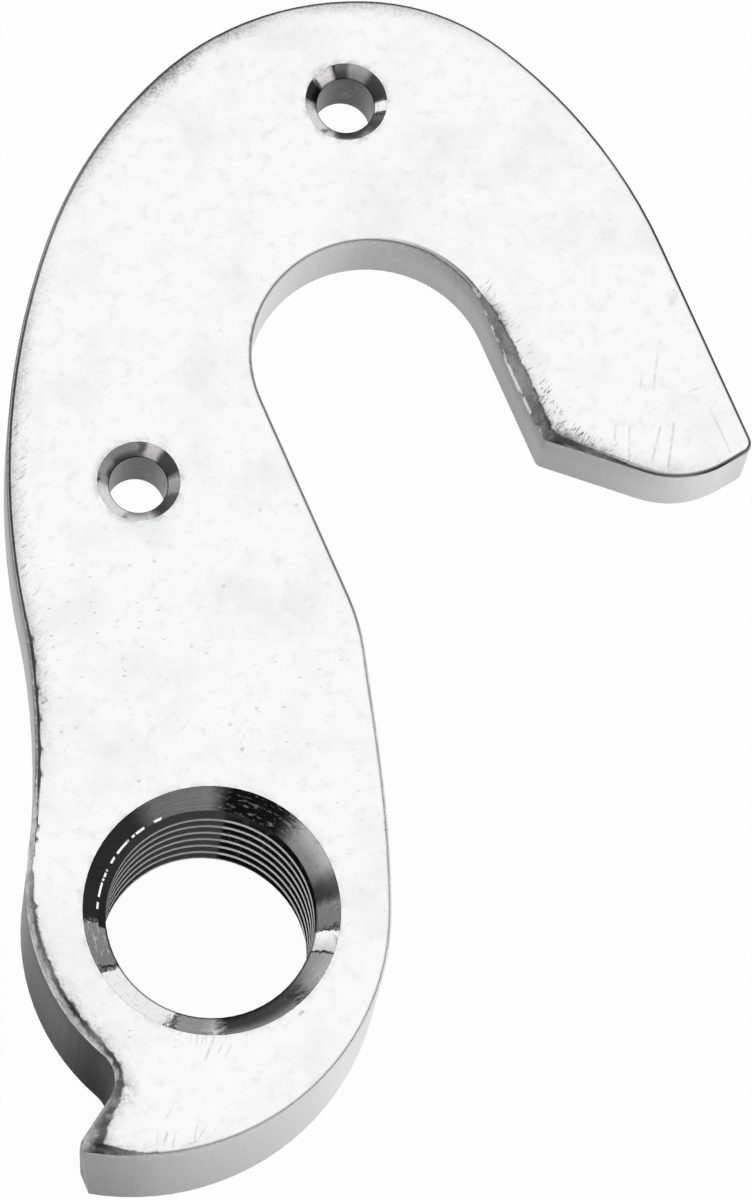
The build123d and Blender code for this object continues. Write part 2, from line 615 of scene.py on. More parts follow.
@dataclass(frozen=True)
class MilledWall:
    """Side walls cut by an end mill and left satin.

    Mid grey beside the faces, because the upright cutter lines scatter the light. That grey is
    painted paler as light where a wall looks forward and darker as shade where it looks upward or
    lies deep, and a wall that looks to the rear gets a painted shade towards its edge. The cutter's
    steps show as faint upright bands, and the front edge is rubbed paler here and there.
    """

    dark: str = "#505050"
    pale: str = "#EEEEEE"
    rub: str = "#E0DCDE"
    soot: str = "#161616"
    dim_glance: str = "#7C7C7C"
    fall: float = 0.02
    roughness: float = 0.4
    steps: Cloud = Cloud(0.7, 2.0, 3.0, stretch=(1, 1, 40))
    step_range: float = 0.14
    lines: Cloud = Cloud(0.10, 1.0, 8.0, stretch=(1, 1, 60))
    line_range: float = 0.06
    band_middle: float = 0.10
    band_height: float = 0.012
    fraying: Cloud = Cloud(0.3, 3.0, 5.0)
    flecks: Cloud = Cloud(0.16, 2.0, 12.0, 0.50, 0.62)
    fleck_share: float = 0.5
    gloom_share: float = 0.6
    satin_range: float = 0.12

    def material(self) -> bpy.types.Material:
        """Build the finish as a node material.

        Returns:
            The new material.
        """
        make = Finish("milled_aluminium_wall", Wear.TONE, Wear.EDGE, Wear.LINE, Wear.BORDER)
        tone, edge, line, border = make.worn

        # Upright bands of the cutter, each a little lighter or darker, with fine lines between
        steps = make.cloud(self.steps)
        fine = make.put("Math", TIMES, in_0=make.cloud(self.lines), in_1=self.line_range)
        bands = make.put("Math", SCALED_SUM, in_0=steps, in_1=self.step_range, in_2=fine)
        # The wall's tone holds painted light and shade, by which way it looks and where it lies, and the wall
        # is painted darker the deeper it lies, as shade
        level = make.put("Math", SCALED_SUM, in_0=edge, in_1=self.fall, in_2=tone)
        raised = make.put("Math", PLUS, in_0=level, in_1=bands)
        shade = make.put("Math", CLAMPED_LESS, in_0=raised, in_1=self.band_middle)

        # The front edge is rubbed paler in a ragged strip
        frayed = make.put("Math", PLUS, in_0=make.cloud(self.fraying), in_1=edge)
        strip = make.put("MapRange", SMOOTH, Value=frayed, From_Min=-0.5, From_Max=0.1)
        rubbed = make.put("Math", TIMES, in_0=strip, in_1=make.blots(self.flecks))
        flecked = make.put("Math", TIMES, in_0=rubbed, in_1=self.fleck_share)

        # On the rear side the wall gets a painted shade that darkens towards the edge
        gloom = make.put(
            "MapRange", SMOOTH, Value=edge, From_Min=-2.4, From_Max=-0.2, To_Max=self.gloom_share
        )
        rear_wall_shade = make.put("Math", TIMES, in_0=gloom, in_1=border)

        # Soot and painted shade sit in the last of the rounding, where the edge meets the wall, the shade
        # strongest where the edge looks upward
        last = make.put("MapRange", SMOOTH, Value=edge, From_Min=-0.26, From_Max=-0.19)
        soot_and_shade = make.put("Math", TIMES, in_0=last, in_1=line)
        colour = make.coated(
            linear(self.dark),
            [(shade, self.pale), (flecked, self.rub), (rear_wall_shade, self.dark), (soot_and_shade, self.soot)],
        )

        # A wall painted darker as shade also mirrors less at a glancing view
        bright = make.put("MapRange", SMOOTH, Value=tone, From_Min=0.0, From_Max=0.45)
        glance = make.put("Mix", COLOURS, 2, in_0=bright, in_6=linear(self.dim_glance), in_7=linear(WHITE))
        satin = make.put(
            "Math", SCALED_SUM, in_0=steps, in_1=self.satin_range,
            in_2=self.roughness - self.satin_range / 2,
        )
        height = make.put("Math", TIMES, in_0=bands, in_1=self.band_height)
        return make.dress(colour, satin, height, glance)


@dataclass(frozen=True)
class TappedThread:
    """Aluminium cut by a tap.

    The crests are rubbed bright and draw thin lines, and the grooves are painted dark as shade.
    The tap chattered on one side, where the crests are duller and the painted shade in the grooves lighter.
    """

    radius: float
    start: float
    crest: str = "#9A9A9A"
    chatter: str = "#6C6C6C"
    recess_shade: str = "#0E0E0E"
    film: str = "#3C3C3C"
    chatter_end: float = 0.6
    chatter_fade: float = 0.1
    oil_depth: float = 0.03
    roughness: float = 0.25
    top_share: float = 0.85
    tears: Cloud = Cloud(0.3, 3.0, 2.0, 0.55, 0.7)
    tear_share: float = 0.6
    polish: Cloud = Cloud(0.4, 2.0, 5.0)
    polish_range: float = 0.2
    bumps: Cloud = Cloud(0.15, 2.0, 1.0)
    bump_height: float = 0.008

    def material(self) -> bpy.types.Material:
        """Build the finish as a node material.

        Returns:
            The new material.
        """
        make = Finish("tapped_aluminium_thread")
        way = add_node(make.tree, "ShaderNodeSeparateXYZ", Vector=make.place)
        plan = make.put("VectorMath", TIMES, in_0=make.place, in_1=(1, 1, 0))
        out = make.put("VectorMath", LENGTH, "Value", in_0=plan)
        side = make.put(
            "MapRange", SMOOTH, Value=way.outputs["X"], From_Min=self.chatter_end - self.chatter_fade,
            From_Max=self.chatter_end + self.chatter_fade,
        )
        # The grooves are painted dark as shade, darkest on the side away from the chatter
        crest = make.put("Mix", COLOURS, 2, in_0=side, in_6=linear(self.chatter), in_7=linear(self.crest))
        groove = make.put("Mix", COLOURS, 2, in_0=side, in_6=linear(self.film), in_7=linear(self.recess_shade))
        deep = make.put(
            "MapRange", SMOOTH, Value=out, From_Min=self.radius, From_Max=self.radius + self.oil_depth
        )
        cut = make.put("Mix", COLOURS, 2, in_0=deep, in_6=crest, in_7=groove)

        # Just below the countersink the thread is painted dark as shade, and the tap tore the metal here and
        # there
        top = make.put(
            "MapRange", SMOOTH, Value=way.outputs["Z"], From_Min=self.start - 0.55, From_Max=self.start - 0.2
        )
        painted_top_shade = make.put("Math", TIMES, in_0=top, in_1=self.top_share)
        torn = make.put("Math", TIMES, in_0=make.blots(self.tears), in_1=self.tear_share)
        colour = make.coated(cut, [(painted_top_shade, self.film), (torn, self.film)])
        rough = make.put(
            "Math", SCALED_SUM, in_0=make.cloud(self.polish), in_1=self.polish_range,
            in_2=self.roughness - self.polish_range / 2,
        )
        height = make.put("Math", TIMES, in_0=make.cloud(self.bumps), in_1=self.bump_height)
        return make.dress(colour, rough, height)


@dataclass(frozen=True)
class DrilledBore:
    """Drilled aluminium, painted dark as the shade inside the bore, with faint lighter drags on the wall."""

    recess_shade: str = "#2A2A2A"
    drag: str = "#5A5A58"
    roughness: float = 0.35
    drags: Cloud = Cloud(0.7, 3.0, 4.0, 0.5, 0.68)
    drag_range: float = 0.1
    rings: Cloud = Cloud(0.12, 2.0, 1.0, stretch=(6, 6, 1))
    ring_height: float = 0.006

    def material(self) -> bpy.types.Material:
        """Build the finish as a node material.

        Returns:
            The new material.
        """
        make = Finish("drilled_aluminium_bore")
        drags = make.blots(self.drags)
        colour = make.put("Mix", COLOURS, 2, in_0=drags, in_6=linear(self.recess_shade), in_7=linear(self.drag))
        rough = make.put(
            "Math", SCALED_SUM, in_0=drags, in_1=self.drag_range, in_2=self.roughness - self.drag_range / 2
        )
        height = make.put("Math", TIMES, in_0=make.cloud(self.rings), in_1=self.ring_height)
        return make.dress(colour, rough, height)


@dataclass(frozen=True)
class FiledBevel:
    """A worn bevel of the front edge.

    Satin grey with strokes that run down it, a ragged line of soot and painted shade where it meets
    the face and a broken burr at its foot, painted white as a highlight.

    Attributes:
        name: The material's name.
        dull: The metal's colour between the strokes.
        bright: The strokes' colour.
        soot: The colour of the line.
        reach: How far down the bevel the line goes, in millimetres.
        frayed: How far its lower border wanders, as a share of the reach.
        burr: How strongly the burr at its foot is painted white as a highlight.
        roughness: The metal's roughness.
        satin_range: How far the roughness varies.
        strokes: The strokes' pattern.
        stroke_share: How much the strokes add to the patches.
        stroke_height: The strokes' relief, in millimetres.
        patches: The paler patches' pattern.
        gaps: The pattern that breaks the burr.
        fraying: The pattern of the line's lower border.
    """

    name: str
    dull: str
    bright: str
    soot: str = "#1C1C1C"
    reach: float = 0.12
    frayed: float = 1.0
    burr: float = 0.0
    roughness: float = 0.42
    satin_range: float = 0.1
    strokes: Cloud = Cloud(0.12, 2.0, 6.0, stretch=(1, 1, 8))
    stroke_share: float = 0.5
    stroke_height: float = 0.006
    patches: Cloud = Cloud(0.9, 3.0, 2.0)
    gaps: Cloud = Cloud(0.7, 3.0, 23.0, 0.44, 0.54)
    fraying: Cloud = Cloud(0.5, 4.0, 13.0)

    def material(self) -> bpy.types.Material:
        """Build the finish as a node material.

        Returns:
            The new material.
        """
        make = Finish(self.name, Wear.EDGE, Wear.LINE, Wear.STAIN, Wear.FOOT)
        edge, line, stain, foot = make.worn
        strokes = make.cloud(self.strokes)
        patchy = make.cloud(self.patches)
        mixed = make.put("Math", SCALED_SUM, in_0=strokes, in_1=self.stroke_share, in_2=patchy)
        share = make.put("MapRange", SMOOTH, Value=mixed, From_Min=0.55, From_Max=0.95)

        # A burr at its foot, painted white as a highlight and broken here and there
        ridge_highlight = make.put("MapRange", SMOOTH, Value=foot, From_Min=0.74, From_Max=0.84)
        broken = make.put("Math", TIMES, in_0=ridge_highlight, in_1=make.blots(self.gaps))
        burr = make.put("Math", TIMES, in_0=broken, in_1=self.burr)

        # A line of soot and painted shade below the face, the shade strongest where the edge looks
        # upward, and dirt
        ragged = make.put(
            "Math", SCALED_SUM, in_0=make.cloud(self.fraying), in_1=self.frayed * self.reach, in_2=edge
        )
        rim = make.put(
            "MapRange", SMOOTH, Value=ragged, From_Min=(0.5 * self.frayed - 1.0) * self.reach,
            From_Max=(0.5 * self.frayed - 0.3) * self.reach,
        )
        soot_and_shade = make.put("Math", TIMES, in_0=rim, in_1=line)
        dirty = make.put("Math", MOST, in_0=soot_and_shade, in_1=stain)
        colour = make.coated(
            linear(self.dull), [(share, self.bright), (burr, WHITE), (dirty, self.soot)]
        )
        rough = make.put(
            "Math", SCALED_SUM, in_0=patchy, in_1=self.satin_range,
            in_2=self.roughness - self.satin_range / 2,
        )
        height = make.put("Math", TIMES, in_0=strokes, in_1=self.stroke_height)
        return make.dress(colour, rough, height)


@dataclass(frozen=True)
class Crest:
    """The burnished crest that a thread leaves where it runs out through its countersink, painted white
    as a highlight.

    Attributes:
        start: The direction of its lower end from the hole's axis, in degrees from X.
        end: The direction of its upper end.
        low: How far outside the bore it starts, in millimetres.
        high: How far outside the bore it ends.
        width: Its width.
        lean: How far it leans back towards level, in degrees.
        dashes: How many dashes break it in a radian.
    """

    start: float
    end: float
    low: float
    high: float
    width: float
    lean: float = 36.0
    dashes: float = 9.0


@dataclass(frozen=True)
class Countersink:
    """A countersink turned in aluminium and knocked about since.

    Turned metal mirrors the room in arcs. Each stretch has its own painted colour, which stands in
    for the dark and bright reflections: black, brushed grey or white, and some are also burnished
    towards level, where they show the softbox.
    """

    name: str
    hole: Patch
    sectors: tuple[Sector, ...]
    width: float
    crest: Crest | None = None
    plain: str = "#C4C4C4"
    turned: str = "#7A7A7A"
    fleck: str = "#E8E8E8"
    grime: str = "#2A2A2A"
    seam: str = "#303030"
    roughness: float = 0.28
    satin_range: float = 0.06
    seam_share: float = 0.8
    brim_share: float = 0.4
    ring_stretch: float = 0.5
    rings_per_mm: float = 14.0
    ring_height: float = 0.004
    burr_scale: tuple[float, ...] = (5.0, 0.6, 1.0)
    wandering: Cloud = Cloud(0.35, 3.0, 3.0)
    wander_reach: float = 0.08
    dirt: Cloud = Cloud(0.16, 3.0, 7.0, 0.54, 0.68)
    dirt_share: float = 0.22

    def material(self) -> bpy.types.Material:
        """Build the finish as a node material.

        Returns:
            The new material.
        """
        make = Finish(self.name)
        local = make.put("VectorMath", LESS, in_0=make.place, in_1=(self.hole.x, self.hole.y, 0))
        way = add_node(make.tree, "ShaderNodeSeparateXYZ", Vector=local)
        turn = make.put("Math", {"operation": "ARCTAN2"}, in_0=way.outputs["Y"], in_1=way.outputs["X"])
        plan = make.put("VectorMath", TIMES, in_0=local, in_1=(1, 1, 0))
        out = make.put("VectorMath", LENGTH, "Value", in_0=plan)
        rise = make.put("Math", LESS, in_0=out, in_1=self.hole.reach)
        cube = make.put("Math", {"operation": "POWER"}, in_0=rise, in_1=3.0)

        # Turning marks: long round the hole, short across
        arc = make.put("Math", TIMES, in_0=turn, in_1=self.hole.reach * self.ring_stretch)
        across = make.put("Math", TIMES, in_0=out, in_1=self.rings_per_mm)
        unrolled = make.put("CombineXYZ", X=arc, Y=across)
        strewn = make.put("VectorMath", TIMES, in_0=unrolled, in_1=self.burr_scale)
        rings, torn = (
            make.put("TexNoise", None, "Fac", Vector=where, Scale=1.0, Detail=3.0, Roughness=0.6)
            for where in (unrolled, strewn)
        )
        burrs = make.put("MapRange", SMOOTH, Value=torn, From_Min=0.55, From_Max=0.66)
        coats = [(rings, self.turned)]
        lean = make.put("Math", TIMES, in_0=rings, in_1=self.ring_height)

        # Each stretch has its own colour, painted as its reflection of the room, and its own burrs and lean
        wander = make.put(
            "Math", SCALED_SUM, in_0=make.cloud(self.wandering), in_1=self.wander_reach, in_2=turn
        )
        for sector in self.sectors:
            middle = math.radians(sector.middle) + self.wander_reach / 2
            off = make.put("Math", LESS, in_0=wander, in_1=middle)
            wrapped = make.put("Math", {"operation": "WRAP"}, in_0=off, in_1=math.pi, in_2=-math.pi)
            aside = make.put("Math", ABSOLUTE, in_0=wrapped)
            share = make.put(
                "MapRange", SMOOTH, Value=aside, From_Min=math.radians(sector.half + sector.soft),
                From_Max=math.radians(sector.half),
            )
            sown = make.put("Math", TIMES, in_0=burrs, in_1=sector.burr)
            flecks = make.put("Math", TIMES, in_0=share, in_1=sown)
            coats += [(share, sector.shade), (flecks, self.fleck)]
            tilt = -CONE_SLANT * math.tan(math.radians(sector.lean))
            even = make.put("Math", TIMES, in_0=rise, in_1=tilt)
            rolled = -CUBE_SLANT * math.tan(math.radians(sector.roll)) / self.width**2
            slope = make.put("Math", SCALED_SUM, in_0=cube, in_1=rolled, in_2=even)
            lean = make.put("Math", SCALED_SUM, in_0=share, in_1=slope, in_2=lean)

        # Dirt, the size of a grain of sand
        dirty = make.put("Math", TIMES, in_0=make.blots(self.dirt), in_1=self.dirt_share)

        # Thin dark lines where it meets the bore and the face
        foot = make.put(
            "MapRange", SMOOTH, Value=rise, From_Min=0.11 * self.width, From_Max=0.05 * self.width
        )
        brim = make.put("MapRange", SMOOTH, Value=rise, From_Min=0.93 * self.width, From_Max=self.width)
        faded = make.put("Math", TIMES, in_0=brim, in_1=self.brim_share)
        both = make.put("Math", MOST, in_0=foot, in_1=faded)
        lines = make.put("Math", TIMES, in_0=both, in_1=self.seam_share)
        coats += [(dirty, self.grime), (lines, self.seam)]

        # The crest where the thread runs out is painted white as a highlight
        if self.crest:
            crest_highlight, lean = self.run_out(make, self.crest, turn, rise, lean)
            coats.append((crest_highlight, WHITE))
        rough = make.put(
            "Math", SCALED_SUM, in_0=rings, in_1=self.satin_range, in_2=self.roughness - self.satin_range / 2
        )
        return make.dress(make.coated(linear(self.plain), coats), rough, lean)

    def run_out(
        self,
        make: Finish,
        crest: Crest,
        turn: bpy.types.NodeSocket,
        rise: bpy.types.NodeSocket,
        lean: bpy.types.NodeSocket,
    ) -> tuple[bpy.types.NodeSocket, bpy.types.NodeSocket]:
        """Draw the crest where the thread runs out, painted white as a highlight.

        Args:
            make: The material.
            crest: The crest.
            turn: The output that gives the direction from the hole's axis, in radians.
            rise: The output that gives the distance outside the bore, in millimetres.
            lean: The output that gives the relief without the crest.

        Returns:
            The output that is 1 on the crest, and the one that gives the relief with it.
        """
        middle = math.radians((crest.start + crest.end) / 2)
        half = math.radians((crest.end - crest.start) / 2)
        spiral = make.put(
            "MapRange", Value=turn, From_Min=math.radians(crest.start), From_Max=math.radians(crest.end),
            To_Min=crest.low, To_Max=crest.high,
        )
        above = make.put("Math", LESS, in_0=rise, in_1=spiral)
        inside = make.put("MapRange", SMOOTH, Value=above, From_Min=crest.width, From_Max=0.8 * crest.width)
        off = make.put("Math", LESS, in_0=turn, in_1=middle)
        aside = make.put("Math", ABSOLUTE, in_0=off)
        near = make.put("MapRange", SMOOTH, Value=aside, From_Min=half, From_Max=half - 0.02)
        round_hole = make.put("CombineXYZ", X=turn)
        dashes = make.put("TexNoise", None, "Fac", Vector=round_hole, Scale=crest.dashes, Detail=2.0)
        broken = make.put("MapRange", SMOOTH, Value=dashes, From_Min=0.45, From_Max=0.49)
        reached = make.put("Math", TIMES, in_0=inside, in_1=near)
        crest_highlight = make.put("Math", TIMES, in_0=reached, in_1=broken)
        left = make.put("Math", LESS, in_0=crest.width, in_1=above)
        ramp = make.put("Math", MOST, in_0=left, in_1=0.0)
        slope = make.put(
            "Math", TIMES, in_0=ramp, in_1=CONE_SLANT * math.tan(math.radians(crest.lean))
        )
        tip = make.put("Math", TIMES, in_0=near, in_1=broken)
        return crest_highlight, make.put("Math", SCALED_SUM, in_0=tip, in_1=slope, in_2=lean)


@dataclass(frozen=True)
class Thread:
    """A cut 60 degree thread in one bore.

    Attributes:
        center: The bore's centre in plan, in millimetres.
        bore_radius: The radius before the thread is cut.
        pitch: The rise of one turn.
        bottom: The height where the cutter starts.
        top: The height where the cutter ends.
        phase: The angle at which the groove starts, in degrees.
        steps: The segments of one turn.
        groove: The depth of a full groove, as a share of the pitch.
        root: Half the width of the groove's root, as a share of the pitch.
        overlap: How far inside the bore the cutter starts, as a share of the pitch.
        flank: The slope of the groove's sides, in degrees.
    """

    center: tuple[float, float]
    bore_radius: float
    pitch: float
    bottom: float
    top: float
    phase: float = 0.0
    steps: int = 72
    groove: float = 0.5413
    root: float = 0.0625
    overlap: float = 0.06
    flank: float = 30.0

    def tree(self) -> bpy.types.NodeTree:
        """Build the Geometry Nodes tree that sweeps the groove's section along a helix.

        Returns:
            The node tree, with the sizes as named inputs in metres.
        """
        tree = bpy.data.node_groups.new("thread_cutter", "GeometryNodeTree")
        face = tree.interface
        face.new_socket("Geometry", in_out="OUTPUT", socket_type="NodeSocketGeometry")
        for name in ("Turns", "Radius", "Height", "Inner", "Outer", "Root", "Mouth"):
            face.new_socket(name, in_out="INPUT", socket_type="NodeSocketFloat")
        face.new_socket("Steps", in_out="INPUT", socket_type="NodeSocketInt")
        face.new_socket("Start", in_out="INPUT", socket_type="NodeSocketVector")
        face.new_socket("Turn", in_out="INPUT", socket_type="NodeSocketVector")
        face.new_socket("Material", in_out="INPUT", socket_type="NodeSocketMaterial")
        given = tree.nodes.new("NodeGroupInput").outputs
        helix = add_node(
            tree,
            "GeometryNodeCurveSpiral",
            Resolution=given["Steps"],
            Rotations=given["Turns"],
            Start_Radius=given["Radius"],
            End_Radius=given["Radius"],
            Height=given["Height"],
            Reverse=True,
        )
        upright = add_node(
            tree, "GeometryNodeSetCurveNormal", {"mode": "Z_UP"}, Curve=helix.outputs["Curve"]
        )
        corners = []
        for across, along, sign in (
            ("Inner", "Mouth", -1), ("Outer", "Root", -1), ("Outer", "Root", 1), ("Inner", "Mouth", 1)
        ):
            half = add_node(tree, "ShaderNodeMath", TIMES, in_0=given[along], in_1=sign)
            point = add_node(tree, "ShaderNodeCombineXYZ", X=given[across], Y=half.outputs[0])
            corners.append(point.outputs[0])
        section = add_node(
            tree,
            "GeometryNodeCurvePrimitiveQuadrilateral",
            {"mode": "POINTS"},
            Point_1=corners[0],
            Point_2=corners[1],
            Point_3=corners[2],
            Point_4=corners[3],
        )
        swept = add_node(
            tree,
            "GeometryNodeCurveToMesh",
            Curve=upright.outputs["Curve"],
            Profile_Curve=section.outputs["Curve"],
            Fill_Caps=True,
        )
        placed = add_node(
            tree,
            "GeometryNodeTransform",
            Geometry=swept.outputs["Mesh"],
            Translation=given["Start"],
            Rotation=given["Turn"],
        )
        real = add_node(tree, "GeometryNodeRealizeInstances", Geometry=placed.outputs["Geometry"])
        dressed = add_node(
            tree,
            "GeometryNodeSetMaterial",
            Geometry=real.outputs["Geometry"],
            Material=given["Material"],
        )
        add_node(tree, "NodeGroupOutput", Geometry=dressed.outputs["Geometry"])
        return tree

    def cutter(self, material: bpy.types.Material) -> bpy.types.Object:
        """Make the solid that cuts this thread.

        Args:
            material: The finish that the cut faces take.

        Returns:
            A scratch object that holds a plain closed mesh.
        """
        tree = self.tree()
        depth = self.groove * self.pitch
        overlap = self.overlap * self.pitch
        root = self.root * self.pitch
        slope = math.tan(math.radians(self.flank))
        values = {
            "Turns": (self.top - self.bottom) / self.pitch,
            "Radius": self.bore_radius * MM,
            "Height": (self.top - self.bottom) * MM,
            "Inner": -overlap * MM,
            "Outer": depth * MM,
            "Root": root * MM,
            "Mouth": (root + slope * (depth + overlap)) * MM,
            "Steps": self.steps,
            "Start": (self.center[0] * MM, self.center[1] * MM, self.bottom * MM),
            "Turn": (0.0, 0.0, math.radians(self.phase)),
            "Material": material,
        }
        holder = bpy.data.objects.new("thread_holder", bpy.data.meshes.new("thread_holder"))
        bpy.context.scene.collection.objects.link(holder)
        modifier = holder.modifiers.new("thread", "NODES")
        modifier.node_group = tree
        for item in tree.interface.items_tree:
            if item.in_out == "INPUT":
                modifier[item.identifier] = values[item.name]
        plain = plain_mesh(holder, "thread_cutter")
        bpy.data.objects.remove(holder)
        cutter = bpy.data.objects.new("thread_cutter", plain)
        bpy.context.scene.collection.objects.link(cutter)
        return cutter


@dataclass(frozen=True)
class WornBevel:
    """A bevel that wear has left along a stretch of the front edge.

    Attributes:
        first: Where the stretch begins, in plan, in millimetres.
        last: Where it ends.
        shares: Places along the stretch, from 0 to 1.
        widths: The bevel's width on the face at these places.
        depths: Its depth on the wall at these places.
        surface: The finish that the bevel takes.
        ragged: How far the width wanders at most.
        steady: A bevel no wider than this doesn't wander.
        sway: How far a wider one wanders at most, as a share of what it is wider.
        run_in: How far before the start the cutter begins.
        least_run: The least that it begins before the start.
        run_out: How far the cutter goes on straight past the end.
        overshoot: How far the cutter passes the metal on each side.
        seed: Fixes the wandering.
    """

    first: tuple[float, float]
    last: tuple[float, float]
    shares: tuple[float, ...]
    widths: tuple[float, ...]
    depths: tuple[float, ...]
    surface: Surface = Surface.BEVEL
    ragged: float = 0.03
    steady: float = 0.15
    sway: float = 0.5
    run_in: float = 0.0
    least_run: float = 0.01
    run_out: float = 0.9
    overshoot: float = 0.45
    seed: int = 7

    def cutter(
        self, route: list[tuple[Vector, Vector]], front: float, material: bpy.types.Material
    ) -> bpy.types.Object:
        """Make the solid that cuts this bevel.

        Args:
            route: Points along the wall's top in plan with the directions into the metal, in millimetres.
            front: The height of the front face.
            material: The finish that the cut faces take.

        Returns:
            A scratch object that holds a plain closed mesh.
        """
        draw = random.Random(self.seed)
        upward = Vector((0, 0, 1))
        before = (route[0][0] - route[1][0]).normalized() * max(self.run_in, self.least_run)
        onward = (route[-1][0] - route[-2][0]).normalized() * self.run_out
        ends = [(route[0][0] + before, route[0][1]), (route[-1][0] + onward, route[-1][1])]
        stations = ends[:1] + route + ends[1:]
        corners = []
        for index, (foot, inward) in enumerate(stations):
            share = (index - 1) / (len(route) - 1)
            width = np.interp(share, self.shares, self.widths)
            depth = np.interp(share, self.shares, self.depths)
            play = min(self.ragged, self.sway * max(width - self.steady, 0.0))
            width += play * draw.uniform(-1, 1)
            slope = Vector((width, depth)).normalized() * self.overshoot
            high = Vector((width, 0)) + slope
            low = Vector((0, -depth)) - slope
            for step, rise in ((high.x, high.y), (low.x, low.y), (low.x - self.overshoot, high.y)):
                corners.append((foot + inward * step + upward * (front + rise)) * MM)
        last = len(stations) - 1
        faces = [(0, 1, 2), (3 * last, 3 * last + 1, 3 * last + 2)]
        for station in range(last):
            for side in range(3):
                a, b = 3 * station + side, 3 * station + (side + 1) % 3
                faces.append((a, b, b + 3, a + 3))
        solid = bmesh.new()
        points = [solid.verts.new(corner) for corner in corners]
        for face in faces:
            solid.faces.new([points[index] for index in face])
        bmesh.ops.triangulate(solid, faces=solid.faces)
        bmesh.ops.recalc_face_normals(solid, faces=solid.faces)
        mesh = bpy.data.meshes.new("bevel_cutter")
        solid.to_mesh(mesh)
        solid.free()
        mesh.materials.append(material)
        cutter = bpy.data.objects.new("bevel_cutter", mesh)
        bpy.context.scene.collection.objects.link(cutter)
        return cutter


def plain_mesh(piece: bpy.types.Object, name: str) -> bpy.types.Mesh:
    """Give the evaluated mesh of an object, with its modifiers applied.

    Args:
        piece: The object to evaluate.
        name: The new mesh's name.

    Returns:
        A mesh that stands by itself.
    """
    bpy.context.view_layer.update()
    graph = bpy.context.evaluated_depsgraph_get()
    mesh = bpy.data.meshes.new_from_object(piece.evaluated_get(graph), depsgraph=graph)
    mesh.name = name
    return mesh


